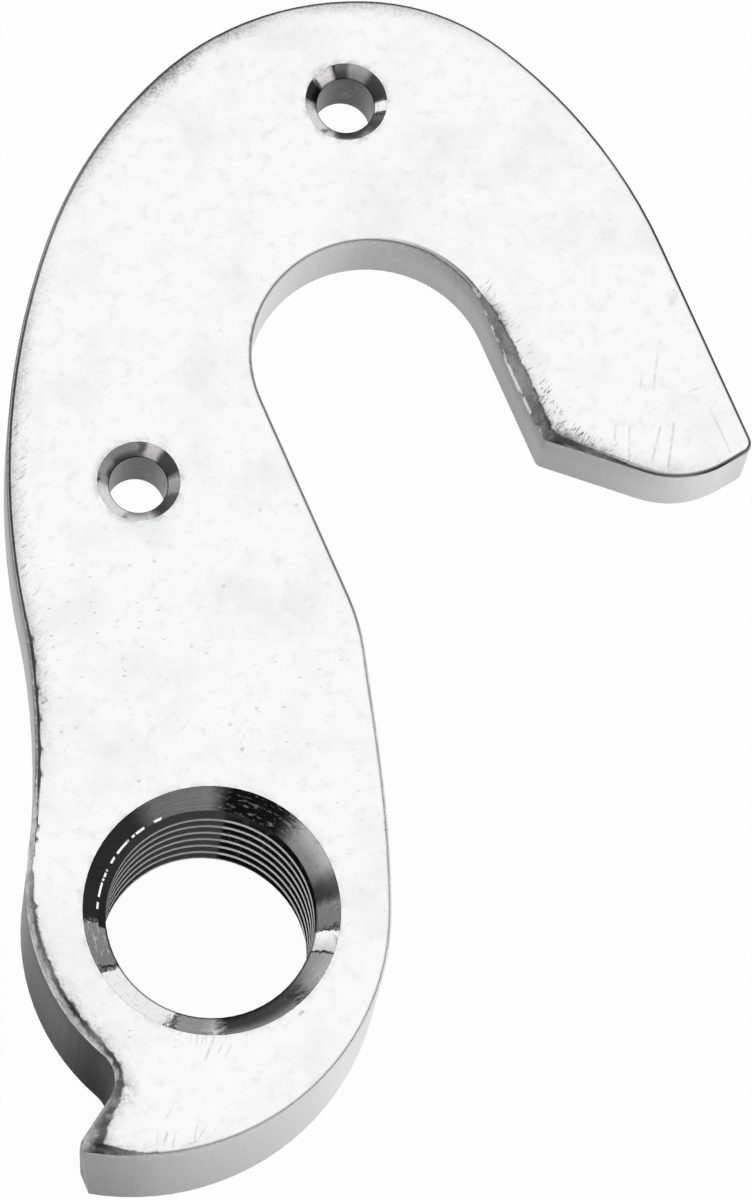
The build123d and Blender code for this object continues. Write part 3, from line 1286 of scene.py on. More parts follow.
@dataclass
class Hanger:
    """The hanger itself: one plate of aluminium with a hook, a threaded boss and two screw holes.

    Attributes:
        holes: The centre of each hole, with its bore's radius as its reach.
        front: The height of the front face, in millimetres.
        cell: The spacing of the cuts that divide the mesh, in millimetres.
        merge: Vertices nearer than this are one, in millimetres.
        touch: Vertices nearer to a dividing cut than this lie on it, in metres.
        sharp: Edges that turn by more than this stay crisp, in degrees.
        weight: How much more a large face counts than a small one in the shading of a corner.
        brow: How far a rounded edge may turn down and still count as face, in degrees.
        upright: The most that an upright wall's normal may point up or down.
        slanted: The same for a wall, rounded or not, that says which way the edge looks.
        cone_angle: The slope of the countersinks, in degrees.
        cone_play: How far the upward part of their normals may be off.
        level: The least that the normal of a flat face beside a hole points up or down.
        rim_margin: How far past its bore a countersink may reach, in millimetres.
        hole_margin: How far past its bore an edge of the front face still belongs to a hole.
        rounding: The radius of the front edge, in millimetres.
        foot_depth: How far below the front face a bevel's foot lies at least, in millimetres.
        spacing: The spacing of the points along a worn stretch of edge, in millimetres.
        samples: The points along each edge from which the distance to the outline is measured.
        tone: How pale a wall that looks sideways is, from 0 to 1.
        forward_gain: How much paler a wall that looks forward is painted, as light.
        upward_loss: How much darker a wall that looks up the bicycle is painted, as shade.
        fringe_gain: How fast the painted shade on the rounded edge grows as the edge turns upward.
        fringe_start: How far the edge turns upward before that painted shade starts.
        border_gain: How fast the painted shade on the edge's inner border grows as the edge turns rearward.
        border_most: The most painted shade on that border.
        outlined: Where soot and painted shade darken the whole rounded edge.
        scuffs: Where the edges are scuffed grey.
        hairs: Where fine strokes cross the face.
        stains: Where dirt has stuck.
        soot: Where soot sits along the edges.
        pitted: Where the face is pitted.
        raked: Where the face is scratched.
        shaded: Where the walls are painted darker as shade or, where the amount is above 0, paler as light.
    """

    holes: tuple[Patch, ...]
    front: float
    cell: float = 0.5
    merge: float = 0.0005
    touch: float = 1e-7
    sharp: float = 32.0
    weight: int = 100
    brow: float = 50.0
    upright: float = 0.02
    slanted: float = 0.97
    cone_angle: float = 45.0
    cone_play: float = 0.05
    level: float = 0.99
    rim_margin: float = 1.1
    hole_margin: float = 2.0
    rounding: float = 0.25
    foot_depth: float = 0.01
    spacing: float = 0.3
    samples: int = 8
    tone: float = 0.45
    forward_gain: float = 0.5
    upward_loss: float = 0.3
    fringe_gain: float = 1.2
    fringe_start: float = 0.1
    border_gain: float = 1.1
    border_most: float = 0.95
    outlined: tuple[Patch, ...] = (
        Patch(22.6, 24.0, 4.0, 1.3),
        Patch(19.2, 31.0, 5.0, 1.3),
        Patch(15.2, 37.1, 5.0, 1.3),
    )
    scuffs: tuple[Patch, ...] = (
        Patch(-4.3, 36.1, 4.5, 0.75),
        Patch(-2.0, 38.2, 2.6, 1.3),
        Patch(0.5, 40.1, 2.4, 0.8),
        Patch(6.5, 41.5, 5.0, 0.5),
        Patch(19.5, 20.3, 2.0, 0.3),
        Patch(-8.5, 24.0, 5.0, 0.55),
        Patch(-8.6, 18.0, 4.5, 0.55),
        Patch(-7.6, 11.0, 4.5, 0.6),
        Patch(-6.0, -5.0, 4.5, 0.6),
        Patch(12.1, 27.2, 0.9, 1.8),
        Patch(13.6, 23.5, 2.0, 0.5),
        Patch(15.2, 21.8, 1.3, 1.1),
        Patch(16.5, 21.3, 1.2, 0.8),
        Patch(-4.6, -9.0, 2.5, 0.4),
    )
    hairs: tuple[Patch, ...] = (
        Patch(11.9, 28.1, 1.2, 0.8),
        Patch(13.2, 25.7, 1.4, 0.8),
        Patch(14.1, 23.9, 1.3, 1.5),
        Patch(14.7, 23.0, 1.2, 1.5),
        Patch(15.8, 21.9, 1.4, 1.5),
        Patch(17.0, 21.2, 1.0, 1.3),
        Patch(-8.7, 20.5, 3.0, 0.7),
        Patch(-8.5, 15.5, 3.5, 0.7),
        Patch(-7.9, 11.6, 2.5, 0.5),
        Patch(-2.7, -4.9, 0.8, 0.7),
    )
    stains: tuple[Patch, ...] = (
        Patch(14.9, 21.4, 0.75, 1.0),
        Patch(15.8, 21.0, 0.6, 0.9),
        Patch(-3.9, -8.0, 0.5, 0.8),
        Patch(-4.7, -10.75, 0.45, 1.0),
        Patch(-4.1, -10.85, 0.4, 0.8),
    )
    soot: tuple[Patch, ...] = (
        Patch(15.2, 21.0, 2.0, 0.9),
        Patch(18.5, 19.5, 3.5, 0.9),
        Patch(21.9, 20.9, 2.2, 1.0),
        Patch(22.2, 25.0, 4.0, 1.3),
        Patch(19.2, 31.0, 5.0, 1.3),
        Patch(15.2, 37.1, 5.0, 1.3),
        Patch(-7.6, -1.0, 2.2, 0.8),
        Patch(-6.4, -4.6, 2.6, 1.0),
        Patch(-4.6, -7.0, 1.6, 1.0),
        Patch(-4.9, -10.6, 1.2, 1.0),
    )
    pitted: tuple[Patch, ...] = (
        Patch(-5.3, 12.4, 5.0, 0.8),
        Patch(3.7, 9.5, 4.0, 0.7),
        Patch(6.3, 5.0, 3.0, 0.6),
        Patch(16.2, 21.8, 2.4, 1.0),
        Patch(-2.7, -4.7, 2.0, 0.9),
    )
    raked: tuple[Patch, ...] = (
        Patch(19.0, 21.5, 2.6, 0.4),
        Patch(22.0, 22.5, 1.6, 0.3),
        Patch(0.0, -6.2, 1.5, 0.8),
        Patch(-1.4, -9.9, 1.5, 0.8),
    )
    shaded: tuple[Patch, ...] = (
        Patch(-8.0, -2.5, 5.0, -0.26),
        Patch(-4.8, -7.6, 3.0, -0.30),
        Patch(21.0, 20.3, 3.0, 0.3),
        Patch(13.2, 24.5, 4.0, -0.08),
        Patch(7.0, -4.5, 4.0, 0.3),
    )

    def solid_copy(self) -> bpy.types.Object:
        """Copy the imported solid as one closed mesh.

        Returns:
            The new object.
        """
        mesh = bpy.data.meshes.new("aluminium_hanger")
        joined = bmesh.new()
        joined.from_mesh(frame["nodes"][NODE].data)
        bmesh.ops.remove_doubles(joined, verts=joined.verts, dist=self.merge * MM)
        for layer in list(joined.loops.layers.uv):
            joined.loops.layers.uv.remove(layer)
        joined.to_mesh(mesh)
        joined.free()
        if "custom_normal" in mesh.attributes:
            mesh.attributes.remove(mesh.attributes["custom_normal"])
        piece = bpy.data.objects.new("aluminium_hanger", mesh)
        bpy.context.scene.collection.objects.link(piece)
        return piece

    def cut(self, piece: bpy.types.Object, cutter: bpy.types.Object) -> None:
        """Cut a solid out of the piece.

        Args:
            piece: The hanger's object.
            cutter: A closed mesh, which is used up.
        """
        knife = piece.modifiers.new("cut", "BOOLEAN")
        knife.operation = "DIFFERENCE"
        knife.solver = "EXACT"
        knife.material_mode = "TRANSFER"
        knife.object = cutter
        old = piece.data
        done = plain_mesh(piece, "aluminium_hanger")
        piece.modifiers.remove(knife)
        piece.data = done
        bpy.data.meshes.remove(old)
        bpy.data.objects.remove(cutter)

    def border_edges(self, mesh: bpy.types.Mesh) -> list[tuple[int, int]]:
        """List the edges at which the flat front face ends.

        Args:
            mesh: The hanger's mesh.

        Returns:
            The vertices at the ends of each edge.
        """
        counts: Counter[tuple[int, int]] = Counter()
        for face in mesh.polygons:
            depths = [abs(mesh.vertices[v].co.z / MM - self.front) for v in face.vertices]
            if face.normal.z > FLAT and max(depths) < LEVEL:
                counts.update(face.edge_keys)
        return [key for key, times in counts.items() if times == 1]

    def outline(self, mesh: bpy.types.Mesh) -> list[Vector]:
        """Walk round the outline of the flat front face.

        Args:
            mesh: The hanger's mesh.

        Returns:
            The corners of the longest loop in plan, in millimetres.
        """
        beside: dict[int, list[int]] = {}
        for first, second in self.border_edges(mesh):
            beside.setdefault(first, []).append(second)
            beside.setdefault(second, []).append(first)
        longest: list[int] = []
        while beside:
            loop = [next(iter(beside))]
            while loop[-1] in beside:
                onward = [v for v in beside.pop(loop[-1]) if v in beside]
                loop += onward[:1]
                if not onward:
                    break
            longest = max(longest, loop, key=len)
        return [Vector((*mesh.vertices[v].co[:2], 0)) / MM for v in longest]

    def edge_route(self, piece: bpy.types.Object, bevel: WornBevel) -> list[tuple[Vector, Vector]]:
        """Follow the top of the wall along a worn stretch of edge.

        Args:
            piece: The hanger's object.
            bevel: The bevel of that stretch.

        Returns:
            Points in plan with the directions into the metal, in millimetres.
        """
        loop = self.outline(piece.data)
        count = len(loop)
        start, end = (
            min(range(count), key=lambda i: (loop[i] - Vector((*place, 0))).length)
            for place in (bevel.first, bevel.last)
        )
        ways = []
        for sign in (1, -1):
            steps = (sign * (end - start)) % count + 1
            ways.append([loop[(start + sign * step) % count] for step in range(steps)])
        lengths = [[0.0], [0.0]]
        for way, length in zip(ways, lengths):
            for before, after in zip(way, way[1:]):
                length.append(length[-1] + (after - before).length)
        pick = 0 if lengths[0][-1] < lengths[1][-1] else 1
        way, length = ways[pick], lengths[pick]
        places = np.linspace(0, length[-1], max(2, round(length[-1] / self.spacing)))
        across, up = (np.interp(places, length, [q[axis] for q in way]) for axis in (0, 1))
        points = [Vector((x, y, 0)) for x, y in zip(across, up)]
        turned = sum(a.x * b.y - b.x * a.y for a, b in zip(loop, loop[1:] + loop[:1]))
        side = (1 if turned > 0 else -1) * (1 if pick == 0 else -1)
        route = []
        for index, point in enumerate(points):
            ahead = (points[min(index + 1, len(points) - 1)] - points[max(index - 1, 0)]).normalized()
            inward = Vector((-ahead.y, ahead.x, 0)) * side
            route.append((point - inward * self.rounding, inward))
        return route

    def sort(self, piece: bpy.types.Object) -> None:
        """Give each face the slot of its finish.

        Args:
            piece: The hanger's object.
        """
        steep = math.cos(math.radians(self.brow))
        cone = math.cos(math.radians(self.cone_angle))
        for face in piece.data.polygons:
            if face.material_index in (Surface.BEVEL.value, Surface.RUBBED.value):
                continue
            middle = face.center / MM
            level = face.normal.z
            around = [
                index
                for index, hole in enumerate(self.holes)
                if math.hypot(middle.x - hole.x, middle.y - hole.y) < hole.reach + self.rim_margin
            ]
            if not around or abs(level) > self.level:
                kind = Surface.FACE if abs(level) > steep else Surface.WALL
                face.material_index = kind.value
            elif abs(level - cone) < self.cone_play:
                face.material_index = Surface.MOUTH.value + around[0]
            else:
                kind = Surface.DRILLED if around[0] else Surface.THREAD
                face.material_index = kind.value

    def divide(self, piece: bpy.types.Object) -> None:
        """Cut the flat faces and the upright walls along a square grid, so that they can carry wear.

        The rounded edges stay whole, because a cut that grazes one leaves slivers that shade badly.

        Args:
            piece: The hanger's object.
        """
        grid = bmesh.new()
        grid.from_mesh(piece.data)
        plain = [
            f
            for f in grid.faces
            if f.material_index <= Surface.WALL.value and not self.upright < abs(f.normal.z) < FLAT
        ]
        edges = {e for f in plain for e in f.edges}
        corners = {v for f in plain for v in f.verts}
        geometry = list(set(plain) | edges | corners)
        low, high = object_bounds()
        for axis in (0, 1):
            across = Vector((0, 0, 0))
            across[axis] = 1.0
            count = int((high[axis] - low[axis]) / (self.cell * MM))
            for step in range(1, count + 1):
                point = across * (low[axis] + step * self.cell * MM)
                cut = bmesh.ops.bisect_plane(
                    grid, geom=geometry, dist=self.touch, plane_co=point, plane_no=across
                )
                geometry = cut["geom"]
        grid.to_mesh(piece.data)
        grid.free()

    def carry(self, piece: bpy.types.Object) -> None:
        """Write what the finishes read to the vertices.

        Args:
            piece: The hanger's object.
        """
        mesh = piece.data
        spots = np.empty(len(mesh.vertices) * 3)
        mesh.vertices.foreach_get("co", spots)
        spots = spots.reshape(-1, 3) / MM
        forward, upward = self.directions(mesh)
        ahead, behind, above = np.maximum(forward, 0), np.maximum(-forward, 0), np.maximum(upward, 0)
        # Walls are painted paler as light where they look forward and darker as shade where they look upward
        tone = self.tone + self.forward_gain * ahead - self.upward_loss * above
        # Painted shade on the rounded edge where it looks upward
        fringe = self.fringe_gain * upward - self.fringe_start
        # Painted shade along the edge's inner border where it looks to the rear
        border = np.clip(self.border_gain * behind * (1 - above), 0.0, self.border_most)
        values = {
            Wear.EDGE: self.edge_distance(mesh, spots),
            Wear.SCUFF: self.strongest(spots, self.scuffs),
            Wear.FRINGE: np.clip(np.maximum(fringe, self.strongest(spots, self.outlined)), 0.0, 1.0),
            Wear.BORDER: border,
            Wear.LINE: np.clip(np.maximum(fringe, self.strongest(spots, self.soot)), 0.0, 1.0),
            Wear.HAIR: self.strongest(spots, self.hairs),
            Wear.STAIN: self.strongest(spots, self.stains),
            Wear.FOOT: np.where(spots[:, 2] < self.front - self.foot_depth, 1.0, 0.0),
            Wear.PITTED: self.strongest(spots, self.pitted),
            Wear.RAKED: self.strongest(spots, self.raked),
            # The shaded patches add painted shade to the walls, and painted light where their amount is above
            # 0
            Wear.TONE: tone + sum(self.strongest(spots, (patch,)) for patch in self.shaded),
        }
        for wear, numbers in values.items():
            layer = mesh.attributes.new(wear.value, "FLOAT", "POINT")
            layer.data.foreach_set("value", numbers.astype(np.float32))

    def strongest(self, spots: np.ndarray, patches: tuple[Patch, ...]) -> np.ndarray:
        """Give the strongest of some patches at each vertex.

        Args:
            spots: The vertices, in millimetres.
            patches: The patches, which fade out around their middles.

        Returns:
            The amount at each vertex.
        """
        amounts = []
        for patch in patches:
            away = np.hypot(spots[:, 0] - patch.x, spots[:, 1] - patch.y)
            amounts.append(patch.amount * np.exp(-((away / patch.reach) ** 2)))
        return np.maximum.reduce(amounts)

    def directions(self, mesh: bpy.types.Mesh) -> tuple[np.ndarray, np.ndarray]:
        """Find which way the wall at each vertex looks.

        Args:
            mesh: The hanger's mesh.

        Returns:
            The forward and the upward part of the outward direction, from -1 to 1.
        """
        side = np.zeros((len(mesh.vertices), 2))
        for face in mesh.polygons:
            if abs(face.normal.z) < self.slanted:
                for vertex in face.vertices:
                    side[vertex] += face.area * np.array(face.normal[:2])
        side /= np.maximum(np.linalg.norm(side, axis=1), TINY)[:, None]
        return side[:, 0], side[:, 1]

    def edge_distance(self, mesh: bpy.types.Mesh, spots: np.ndarray) -> np.ndarray:
        """Measure how far each vertex of the flat front face lies from its outline.

        Args:
            mesh: The hanger's mesh.
            spots: The vertices, in millimetres.

        Returns:
            The distance in millimetres or, off the front face, the depth below it as a minus number.
        """
        edge = spots[:, 2] - self.front
        outline = []
        for first, second in self.border_edges(mesh):
            span = spots[second] - spots[first]
            middle = (spots[first] + spots[second]) / 2
            if not any(
                math.hypot(middle[0] - hole.x, middle[1] - hole.y) < hole.reach + self.hole_margin
                for hole in self.holes
            ):
                outline += [spots[first] + span * share for share in np.linspace(0, 1, self.samples)]
        tree = KDTree(len(outline))
        for index, point in enumerate(outline):
            tree.insert((point[0], point[1], 0), index)
        tree.balance()
        for index in np.flatnonzero(np.abs(edge) < LEVEL):
            edge[index] = tree.find((spots[index, 0], spots[index, 1], 0))[2]
        return edge

    def smooth(self, piece: bpy.types.Object) -> None:
        """Shade the curved faces smooth, keep the flat ones flat and the sharp edges crisp.

        Args:
            piece: The hanger's object.
        """
        mesh = piece.data
        mesh.shade_smooth()
        mesh.set_sharp_from_angle(angle=math.radians(self.sharp))
        touched: dict[tuple[int, int], set[int]] = {}
        for face in mesh.polygons:
            for key in face.edge_keys:
                touched.setdefault(key, set()).add(face.material_index)
        for edge in mesh.edges:
            kinds = touched[edge.key]
            if kinds & {Surface.BEVEL.value, Surface.RUBBED.value} and len(kinds) > 1:
                edge.use_edge_sharp = True
        weighted = piece.modifiers.new("weighted", "WEIGHTED_NORMAL")
        weighted.keep_sharp = True
        weighted.weight = self.weight
        done = plain_mesh(piece, "aluminium_hanger")
        piece.modifiers.remove(weighted)
        piece.data = done
        bpy.data.meshes.remove(mesh)


@dataclass(frozen=True)
class Viewpoint:
    """The camera of the reference picture.

    Attributes:
        tilt: The angle between the plate's normal and the line of sight, in degrees.
        roll: The direction of that tilt in the picture, in degrees from upright.
        focal: The focal length in picture pixels.
        axis_pixel: Where the derailleur axis meets the front face in the picture.
        scale: Pixels to a millimetre there.
        sensor: The sensor's long side, in millimetres.
        nearest: The distance at which the view begins, in metres.
    """

    tilt: float = 18.5
    roll: float = 13.5
    focal: float = 8000.0
    axis_pixel: tuple[float, float] = (212.0, 910.0)
    scale: float = 23.4
    sensor: float = 36.0
    nearest: float = 0.01

    def place(self, front: float) -> bpy.types.Object:
        """Make the camera and set it as the scene's own.

        Args:
            front: The height of the hanger's front face, in metres.

        Returns:
            The camera object.
        """
        tilt, roll = math.radians(self.tilt), math.radians(self.roll)
        normal = Vector(
            (math.sin(tilt) * math.sin(roll), math.sin(tilt) * math.cos(roll), math.cos(tilt))
        )
        up = Vector((0, normal.z, -normal.y)).normalized()
        right = up.cross(normal)
        turn = Matrix((right, up, normal))
        depth = self.focal / self.scale * MM
        seen = Vector(
            (
                (self.axis_pixel[0] - PHOTO_WIDTH / 2) / self.focal * depth,
                -(self.axis_pixel[1] - PHOTO_HEIGHT / 2) / self.focal * depth,
                -depth,
            )
        )
        lens = bpy.data.cameras.new("camera")
        lens.sensor_width = self.sensor
        lens.lens = self.focal / PHOTO_HEIGHT * self.sensor
        lens.clip_start = self.nearest
        camera = bpy.data.objects.new("camera", lens)
        bpy.context.scene.collection.objects.link(camera)
        camera.matrix_world = Matrix.Translation(Vector((0, 0, front)) - turn @ seen) @ turn.to_4x4()
        bpy.context.scene.camera = camera
        return camera


@dataclass(frozen=True)
class Studio:
    """A pale floor under a broad overhead softbox, with a dim room around it.

    Attributes:
        floor_side: The floor's side, in metres.
        floor_drop: How far the floor lies below the hanger, in metres.
        overhead: The softbox's brightness, where 1 shows white as white.
        room: The brightness of the room at the horizon in front.
        window: The brightness of the room at the horizon behind the bicycle.
        shadow: The share of the floor's brightness that the hanger can shade.
        paper: The floor's colour.
        window_span: How far behind the window begins and is full, as the X part of the direction.
        softbox_span: How high the softbox begins and is full, as the Z part of the direction.
    """

    floor_side: float = 4.0
    floor_drop: float = 0.00002
    overhead: float = 1.0
    room: float = 0.11
    window: float = 0.40
    shadow: float = 0.04
    paper: str = "#F8F8F8"
    window_span: tuple[float, float] = (-0.2, -0.9)
    softbox_span: tuple[float, float] = (0.25, 0.75)

    def floor(self, low: float) -> bpy.types.Object:
        """Lay the pale floor.

        Args:
            low: The height of the hanger's lowest point, in metres.

        Returns:
            The floor object.
        """
        half = self.floor_side / 2
        height = low - self.floor_drop
        corners = [(-half, -half, height), (half, -half, height), (half, half, height), (-half, half, height)]
        mesh = bpy.data.meshes.new("floor")
        mesh.from_pydata(corners, [], [(0, 1, 2, 3)])
        floor = bpy.data.objects.new("floor", mesh)
        bpy.context.scene.collection.objects.link(floor)
        mat = bpy.data.materials.new("pale_paper_floor")
        mat.use_nodes = True
        tree = mat.node_tree
        tree.nodes.remove(tree.nodes["Principled BSDF"])
        path = add_node(tree, "ShaderNodeLightPath").outputs
        seen = add_node(
            tree, "ShaderNodeMath", CLAMPED_SUM, in_0=path["Is Camera Ray"], in_1=path["Is Glossy Ray"]
        )
        shown = add_node(
            tree, "ShaderNodeMath", CLAMPED_SUM, in_0=seen.outputs[0], in_1=path["Is Transmission Ray"]
        )
        share = add_node(tree, "ShaderNodeMath", TIMES, in_0=shown.outputs[0], in_1=1 - self.shadow)
        paper = add_node(tree, "ShaderNodeBsdfDiffuse", Color=linear(self.paper))
        white = add_node(tree, "ShaderNodeEmission", Color=linear(WHITE), Strength=1.0)
        mixed = add_node(
            tree, "ShaderNodeMixShader", in_0=share.outputs[0],
            in_1=paper.outputs[0], in_2=white.outputs[0],
        )
        tree.links.new(mixed.outputs[0], tree.nodes["Material Output"].inputs["Surface"])
        mesh.materials.append(mat)
        floor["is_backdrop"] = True
        return floor

    def light(self) -> None:
        """Light the scene with the softbox and the dim room, as one soft dome."""
        world = bpy.data.worlds.new("studio")
        bpy.context.scene.world = world
        world.use_nodes = True
        tree = world.node_tree
        back = tree.nodes["Background"]
        way = add_node(tree, "ShaderNodeTexCoord")
        split = add_node(tree, "ShaderNodeSeparateXYZ", Vector=way.outputs["Generated"])
        around = add_node(
            tree, "ShaderNodeMapRange", SMOOTH, Value=split.outputs["X"], From_Min=self.window_span[0],
            From_Max=self.window_span[1], To_Min=self.room, To_Max=self.window,
        )
        ramp = add_node(
            tree, "ShaderNodeMapRange", SMOOTH, Value=split.outputs["Z"], From_Min=self.softbox_span[0],
            From_Max=self.softbox_span[1], To_Min=around.outputs[0], To_Max=self.overhead,
        )
        back.inputs["Color"].default_value = linear(WHITE)
        tree.links.new(ramp.outputs[0], back.inputs["Strength"])


# The countersinks' widths and the strength of the painted shade round them, in the order of the holes
MOUTH_WIDTHS = (1.04, 0.54, 0.54)
RIM_SHADE = 0.25

# The thread's pitch, where it ends below the front face, and the height and angle at which its
# cutter starts
THREAD_PITCH = 1.0
THREAD_STOP = 0.85
THREAD_BOTTOM = -0.6
THREAD_PHASE = 350.0

# Single pits in the face, deep ones in a cluster and shallow ones here and there
DEEP = 0.85
SHALLOW = 0.42
DOTS = (
    Patch(-7.46, 9.48, 0.11, DEEP),
    Patch(-7.29, 9.31, 0.12, DEEP),
    Patch(-7.20, 9.20, 0.10, DEEP),
    Patch(-7.35, 9.10, 0.10, DEEP),
    Patch(-6.54, 7.81, 0.12, SHALLOW),
    Patch(1.24, 7.20, 0.14, SHALLOW),
    Patch(0.72, 8.30, 0.12, SHALLOW),
    Patch(-1.00, 11.80, 0.10, SHALLOW),
    Patch(-6.93, 11.62, 0.11, SHALLOW),
    Patch(3.51, 18.32, 0.14, SHALLOW),
    Patch(1.97, 18.09, 0.12, SHALLOW),
    Patch(-2.62, 15.61, 0.11, SHALLOW),
    Patch(-6.19, 15.38, 0.11, SHALLOW),
    Patch(-4.18, 12.89, 0.10, SHALLOW),
    Patch(0.40, 14.57, 0.11, SHALLOW),
    Patch(-5.92, 8.00, 0.11, SHALLOW),
    Patch(-3.20, 5.67, 0.12, SHALLOW),
    Patch(1.85, 9.04, 0.11, SHALLOW),
)
DOT_SPAN = (0.03, 0.02)
SCRATCHES = (
    Scratch((18.14, 22.22), (18.12, 20.78), amount=0.26),
    Scratch((19.51, 22.36), (19.15, 20.82), amount=0.30),
    Scratch((20.11, 22.56), (19.83, 20.48), amount=0.34),
    Scratch((19.42, 25.75), (19.23, 24.16), amount=0.26),
    Scratch((18.72, 24.78), (18.63, 24.14), amount=0.22),
    Scratch((21.72, 23.24), (22.59, 21.29), amount=0.26),
    Scratch((17.54, 22.38), (17.49, 21.75), amount=0.28),
    Scratch((20.82, 24.07), (21.13, 24.18), amount=0.26),
    Scratch((0.13, -5.61), (-0.24, -6.62), amount=0.35),
    Scratch((-1.84, -9.88), (-2.00, -10.38), amount=0.35),
    Scratch((-1.46, -9.81), (-1.62, -10.37), amount=0.35),
    Scratch((-1.24, -10.42), (-0.54, -10.18), amount=0.35),
    Scratch((-2.45, -10.72), (-2.26, -10.68), 0.14, 0.7),
    Scratch((3.77, -4.54), (3.90, -4.42), 0.10, 0.6),
    Scratch((20.11, 28.55), (20.10, 28.28), 0.4, 0.18),
    *(
        Scratch((d.x, d.y), (d.x + DOT_SPAN[0], d.y + DOT_SPAN[1]), d.reach, d.amount)
        for d in DOTS
    ),
)
BEVELS = (
    WornBevel(
        first=(11.05, 28.9),
        last=(14.5, 21.8),
        shares=(0.0, 0.18, 0.40, 0.63, 0.87, 1.0),
        widths=(0.14, 0.30, 0.46, 0.46, 0.48, 0.52),
        depths=(0.14, 0.42, 0.75, 0.90, 0.72, 0.34),
    ),
    WornBevel(
        first=(14.9, 21.25),
        last=(17.4, 20.2),
        shares=(0.0, 0.3, 0.6, 1.0),
        widths=(0.40, 0.28, 0.18, 0.13),
        depths=(0.30, 0.22, 0.16, 0.13),
        surface=Surface.RUBBED,
        run_in=0.8,
        run_out=0.1,
    ),
    WornBevel(
        first=(-7.2, 6.5),
        last=(-5.1, -10.4),
        shares=(0.0, 0.20, 0.38, 0.62, 0.72, 0.80, 0.90, 1.0),
        widths=(0.14, 0.25, 0.32, 0.36, 0.25, 0.24, 0.55, 0.95),
        depths=(0.14, 0.44, 0.62, 0.66, 0.52, 0.40, 0.42, 0.45),
        surface=Surface.RUBBED,
        ragged=0.05,
    ),
    WornBevel(
        first=(-4.9, -10.5),
        last=(-2.2, -10.7),
        shares=(0.0, 0.25, 0.6, 1.0),
        widths=(0.60, 0.36, 0.22, 0.13),
        depths=(0.50, 0.32, 0.20, 0.13),
        surface=Surface.RUBBED,
        run_in=1.2,
        run_out=0.1,
    ),
)
# The crest where the thread runs out, painted white as a highlight
CREST = Crest(116.0, 184.0, 0.23, 0.35, 0.09)
# The stretches of each countersink, their colours painted as the reflections that each shows
THREAD_SECTORS = (
    Sector(150, 36, 14, "#6A6A6A", 0),
    Sector(104, 14, 14, "#C0C0C0", 3),
    Sector(64, 17, 12, "#282828", 0, 0.6),
    Sector(28, 12, 16, "#B8B8B8", 3, roll=20),
    Sector(11, 4, 10, "#606060", 0),
    Sector(0, 4, 6, "#B4B4B4", 6),
    Sector(-13, 5, 1.5, WHITE, 28),
    Sector(-28, 9, 12, "#D0D0D0", 12, roll=6),
    Sector(-60, 20, 16, "#8C8C8C", 4, roll=26),
    Sector(-97, 8, 8, "#D8D8D8", 20),
    Sector(-129, 19, 3, "#F4F4F4", 31),
    Sector(-163, 11, 3, "#A8A8A8", 19, 1.0),
)
UPPER_SECTORS = (
    Sector(205, 22, 14, "#C0C0C0", 14, roll=40),
    Sector(162, 12, 10, "#303030", 0, roll=50),
    Sector(127, 13, 8, "#E0DCDD", 12, roll=24),
    Sector(98, 10, 10, "#686868", 0, roll=24),
    Sector(66, 12, 14, "#A8A8A8", 4, roll=10),
    Sector(30, 16, 14, "#585858", 0, roll=10),
    Sector(-4, 7, 8, "#FCFCFC", 23),
    Sector(-45, 16, 18, "#909090", 8),
    Sector(-80, 20, 20, "#909090", 8, roll=24),
    Sector(-136, 20, 20, "#D8D8D8", 22, roll=20),
)
REAR_SECTORS = (
    Sector(200, 24, 14, "#C0C0C0", 14, roll=40),
    Sector(160, 14, 12, "#909090", 4, roll=56),
    Sector(118, 18, 14, "#808080", 0, roll=40),
    Sector(66, 8, 14, "#CCC8C9", 9, roll=12),
    Sector(34, 14, 14, "#606060", 0, roll=8),
    Sector(-4, 8, 16, "#C0C0C0", 13),
    Sector(-45, 16, 20, "#909090", 8),
    Sector(-95, 20, 22, "#D0D0D0", 22, roll=20),
    Sector(-142, 20, 20, "#D8D8D8", 22, roll=20),
)

# The name, stretches and crest of each countersink, in the order of the holes
MOUTHS = (
    ("thread", THREAD_SECTORS, CREST),
    ("upper", UPPER_SECTORS, None),
    ("rear", REAR_SECTORS, None),
)


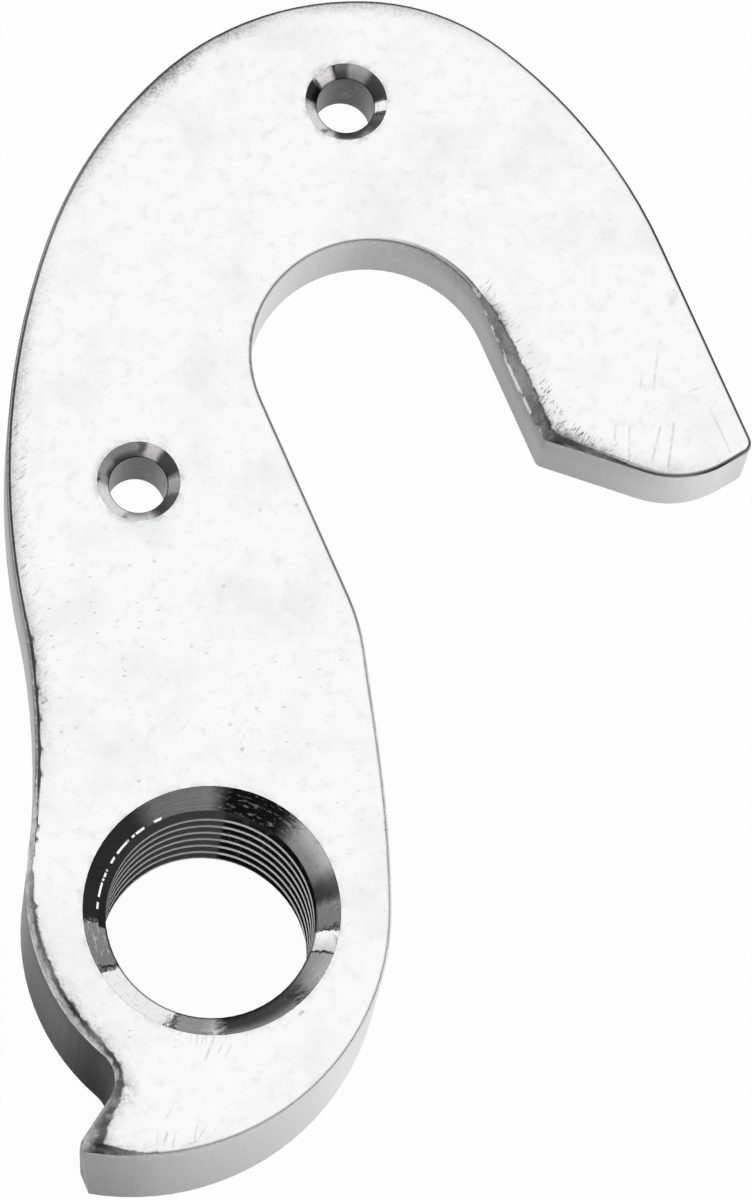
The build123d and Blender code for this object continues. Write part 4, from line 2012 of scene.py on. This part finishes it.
def main() -> None:
    """Build the hanger, its studio and its camera, and say what was made."""
    logging.basicConfig(level=logging.INFO, format="%(name)s: %(message)s")
    cad_low, cad_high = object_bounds()
    bpy.context.scene.view_settings.view_transform = "Standard"

    holes = tuple(
        Patch(m["pos_m"][0] / MM, m["pos_m"][1] / MM, m["dims"]["r_mm"])
        for m in frame["record"]["mounts"]
        if m["kind"] == "threaded_hole"
    )
    hanger = Hanger(holes, cad_high.z / MM)
    rims = tuple(Patch(h.x, h.y, h.reach + rim, RIM_SHADE / rim) for h, rim in zip(holes, MOUTH_WIDTHS))
    countersinks = [
        Countersink(f"countersunk_aluminium_{name}_mouth", hole, sectors, width, crest)
        for hole, width, (name, sectors, crest) in zip(holes, MOUTH_WIDTHS, MOUTHS)
    ]
    kinds = [
        TumbledFace(rims, SCRATCHES),
        MilledWall(),
        TappedThread(holes[0].reach, hanger.front - MOUTH_WIDTHS[0]),
        DrilledBore(),
        FiledBevel("filed_aluminium_slot_bevel", "#868686", "#B0B0B0", burr=0.9),
        *countersinks,
        FiledBevel("rubbed_aluminium_edge", "#A0A0A0", "#CCCCCC", reach=0.36, frayed=2.0, burr=0.3),
    ]
    finishes = [kind.material() for kind in kinds]
    piece = hanger.solid_copy()
    for finish in finishes:
        piece.data.materials.append(finish)
    derailleur = Thread(
        center=(holes[0].x, holes[0].y),
        bore_radius=holes[0].reach,
        pitch=THREAD_PITCH,
        bottom=THREAD_BOTTOM,
        top=hanger.front - THREAD_STOP,
        phase=THREAD_PHASE,
    )
    routes = [hanger.edge_route(piece, bevel) for bevel in BEVELS]
    hanger.cut(piece, derailleur.cutter(finishes[Surface.THREAD.value]))
    for bevel, route in zip(BEVELS, routes):
        hanger.cut(piece, bevel.cutter(route, hanger.front, finishes[bevel.surface.value]))
    hanger.sort(piece)
    hanger.divide(piece)
    hanger.carry(piece)
    hanger.smooth(piece)
    LOG.info("%s: %d faces", piece.name, len(piece.data.polygons))
    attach(piece, BODY)
    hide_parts(NODE)

    studio = Studio()
    studio.floor(cad_low.z)
    studio.light()
    Viewpoint().place(cad_high.z)


if __name__ == "__main__":
    main()
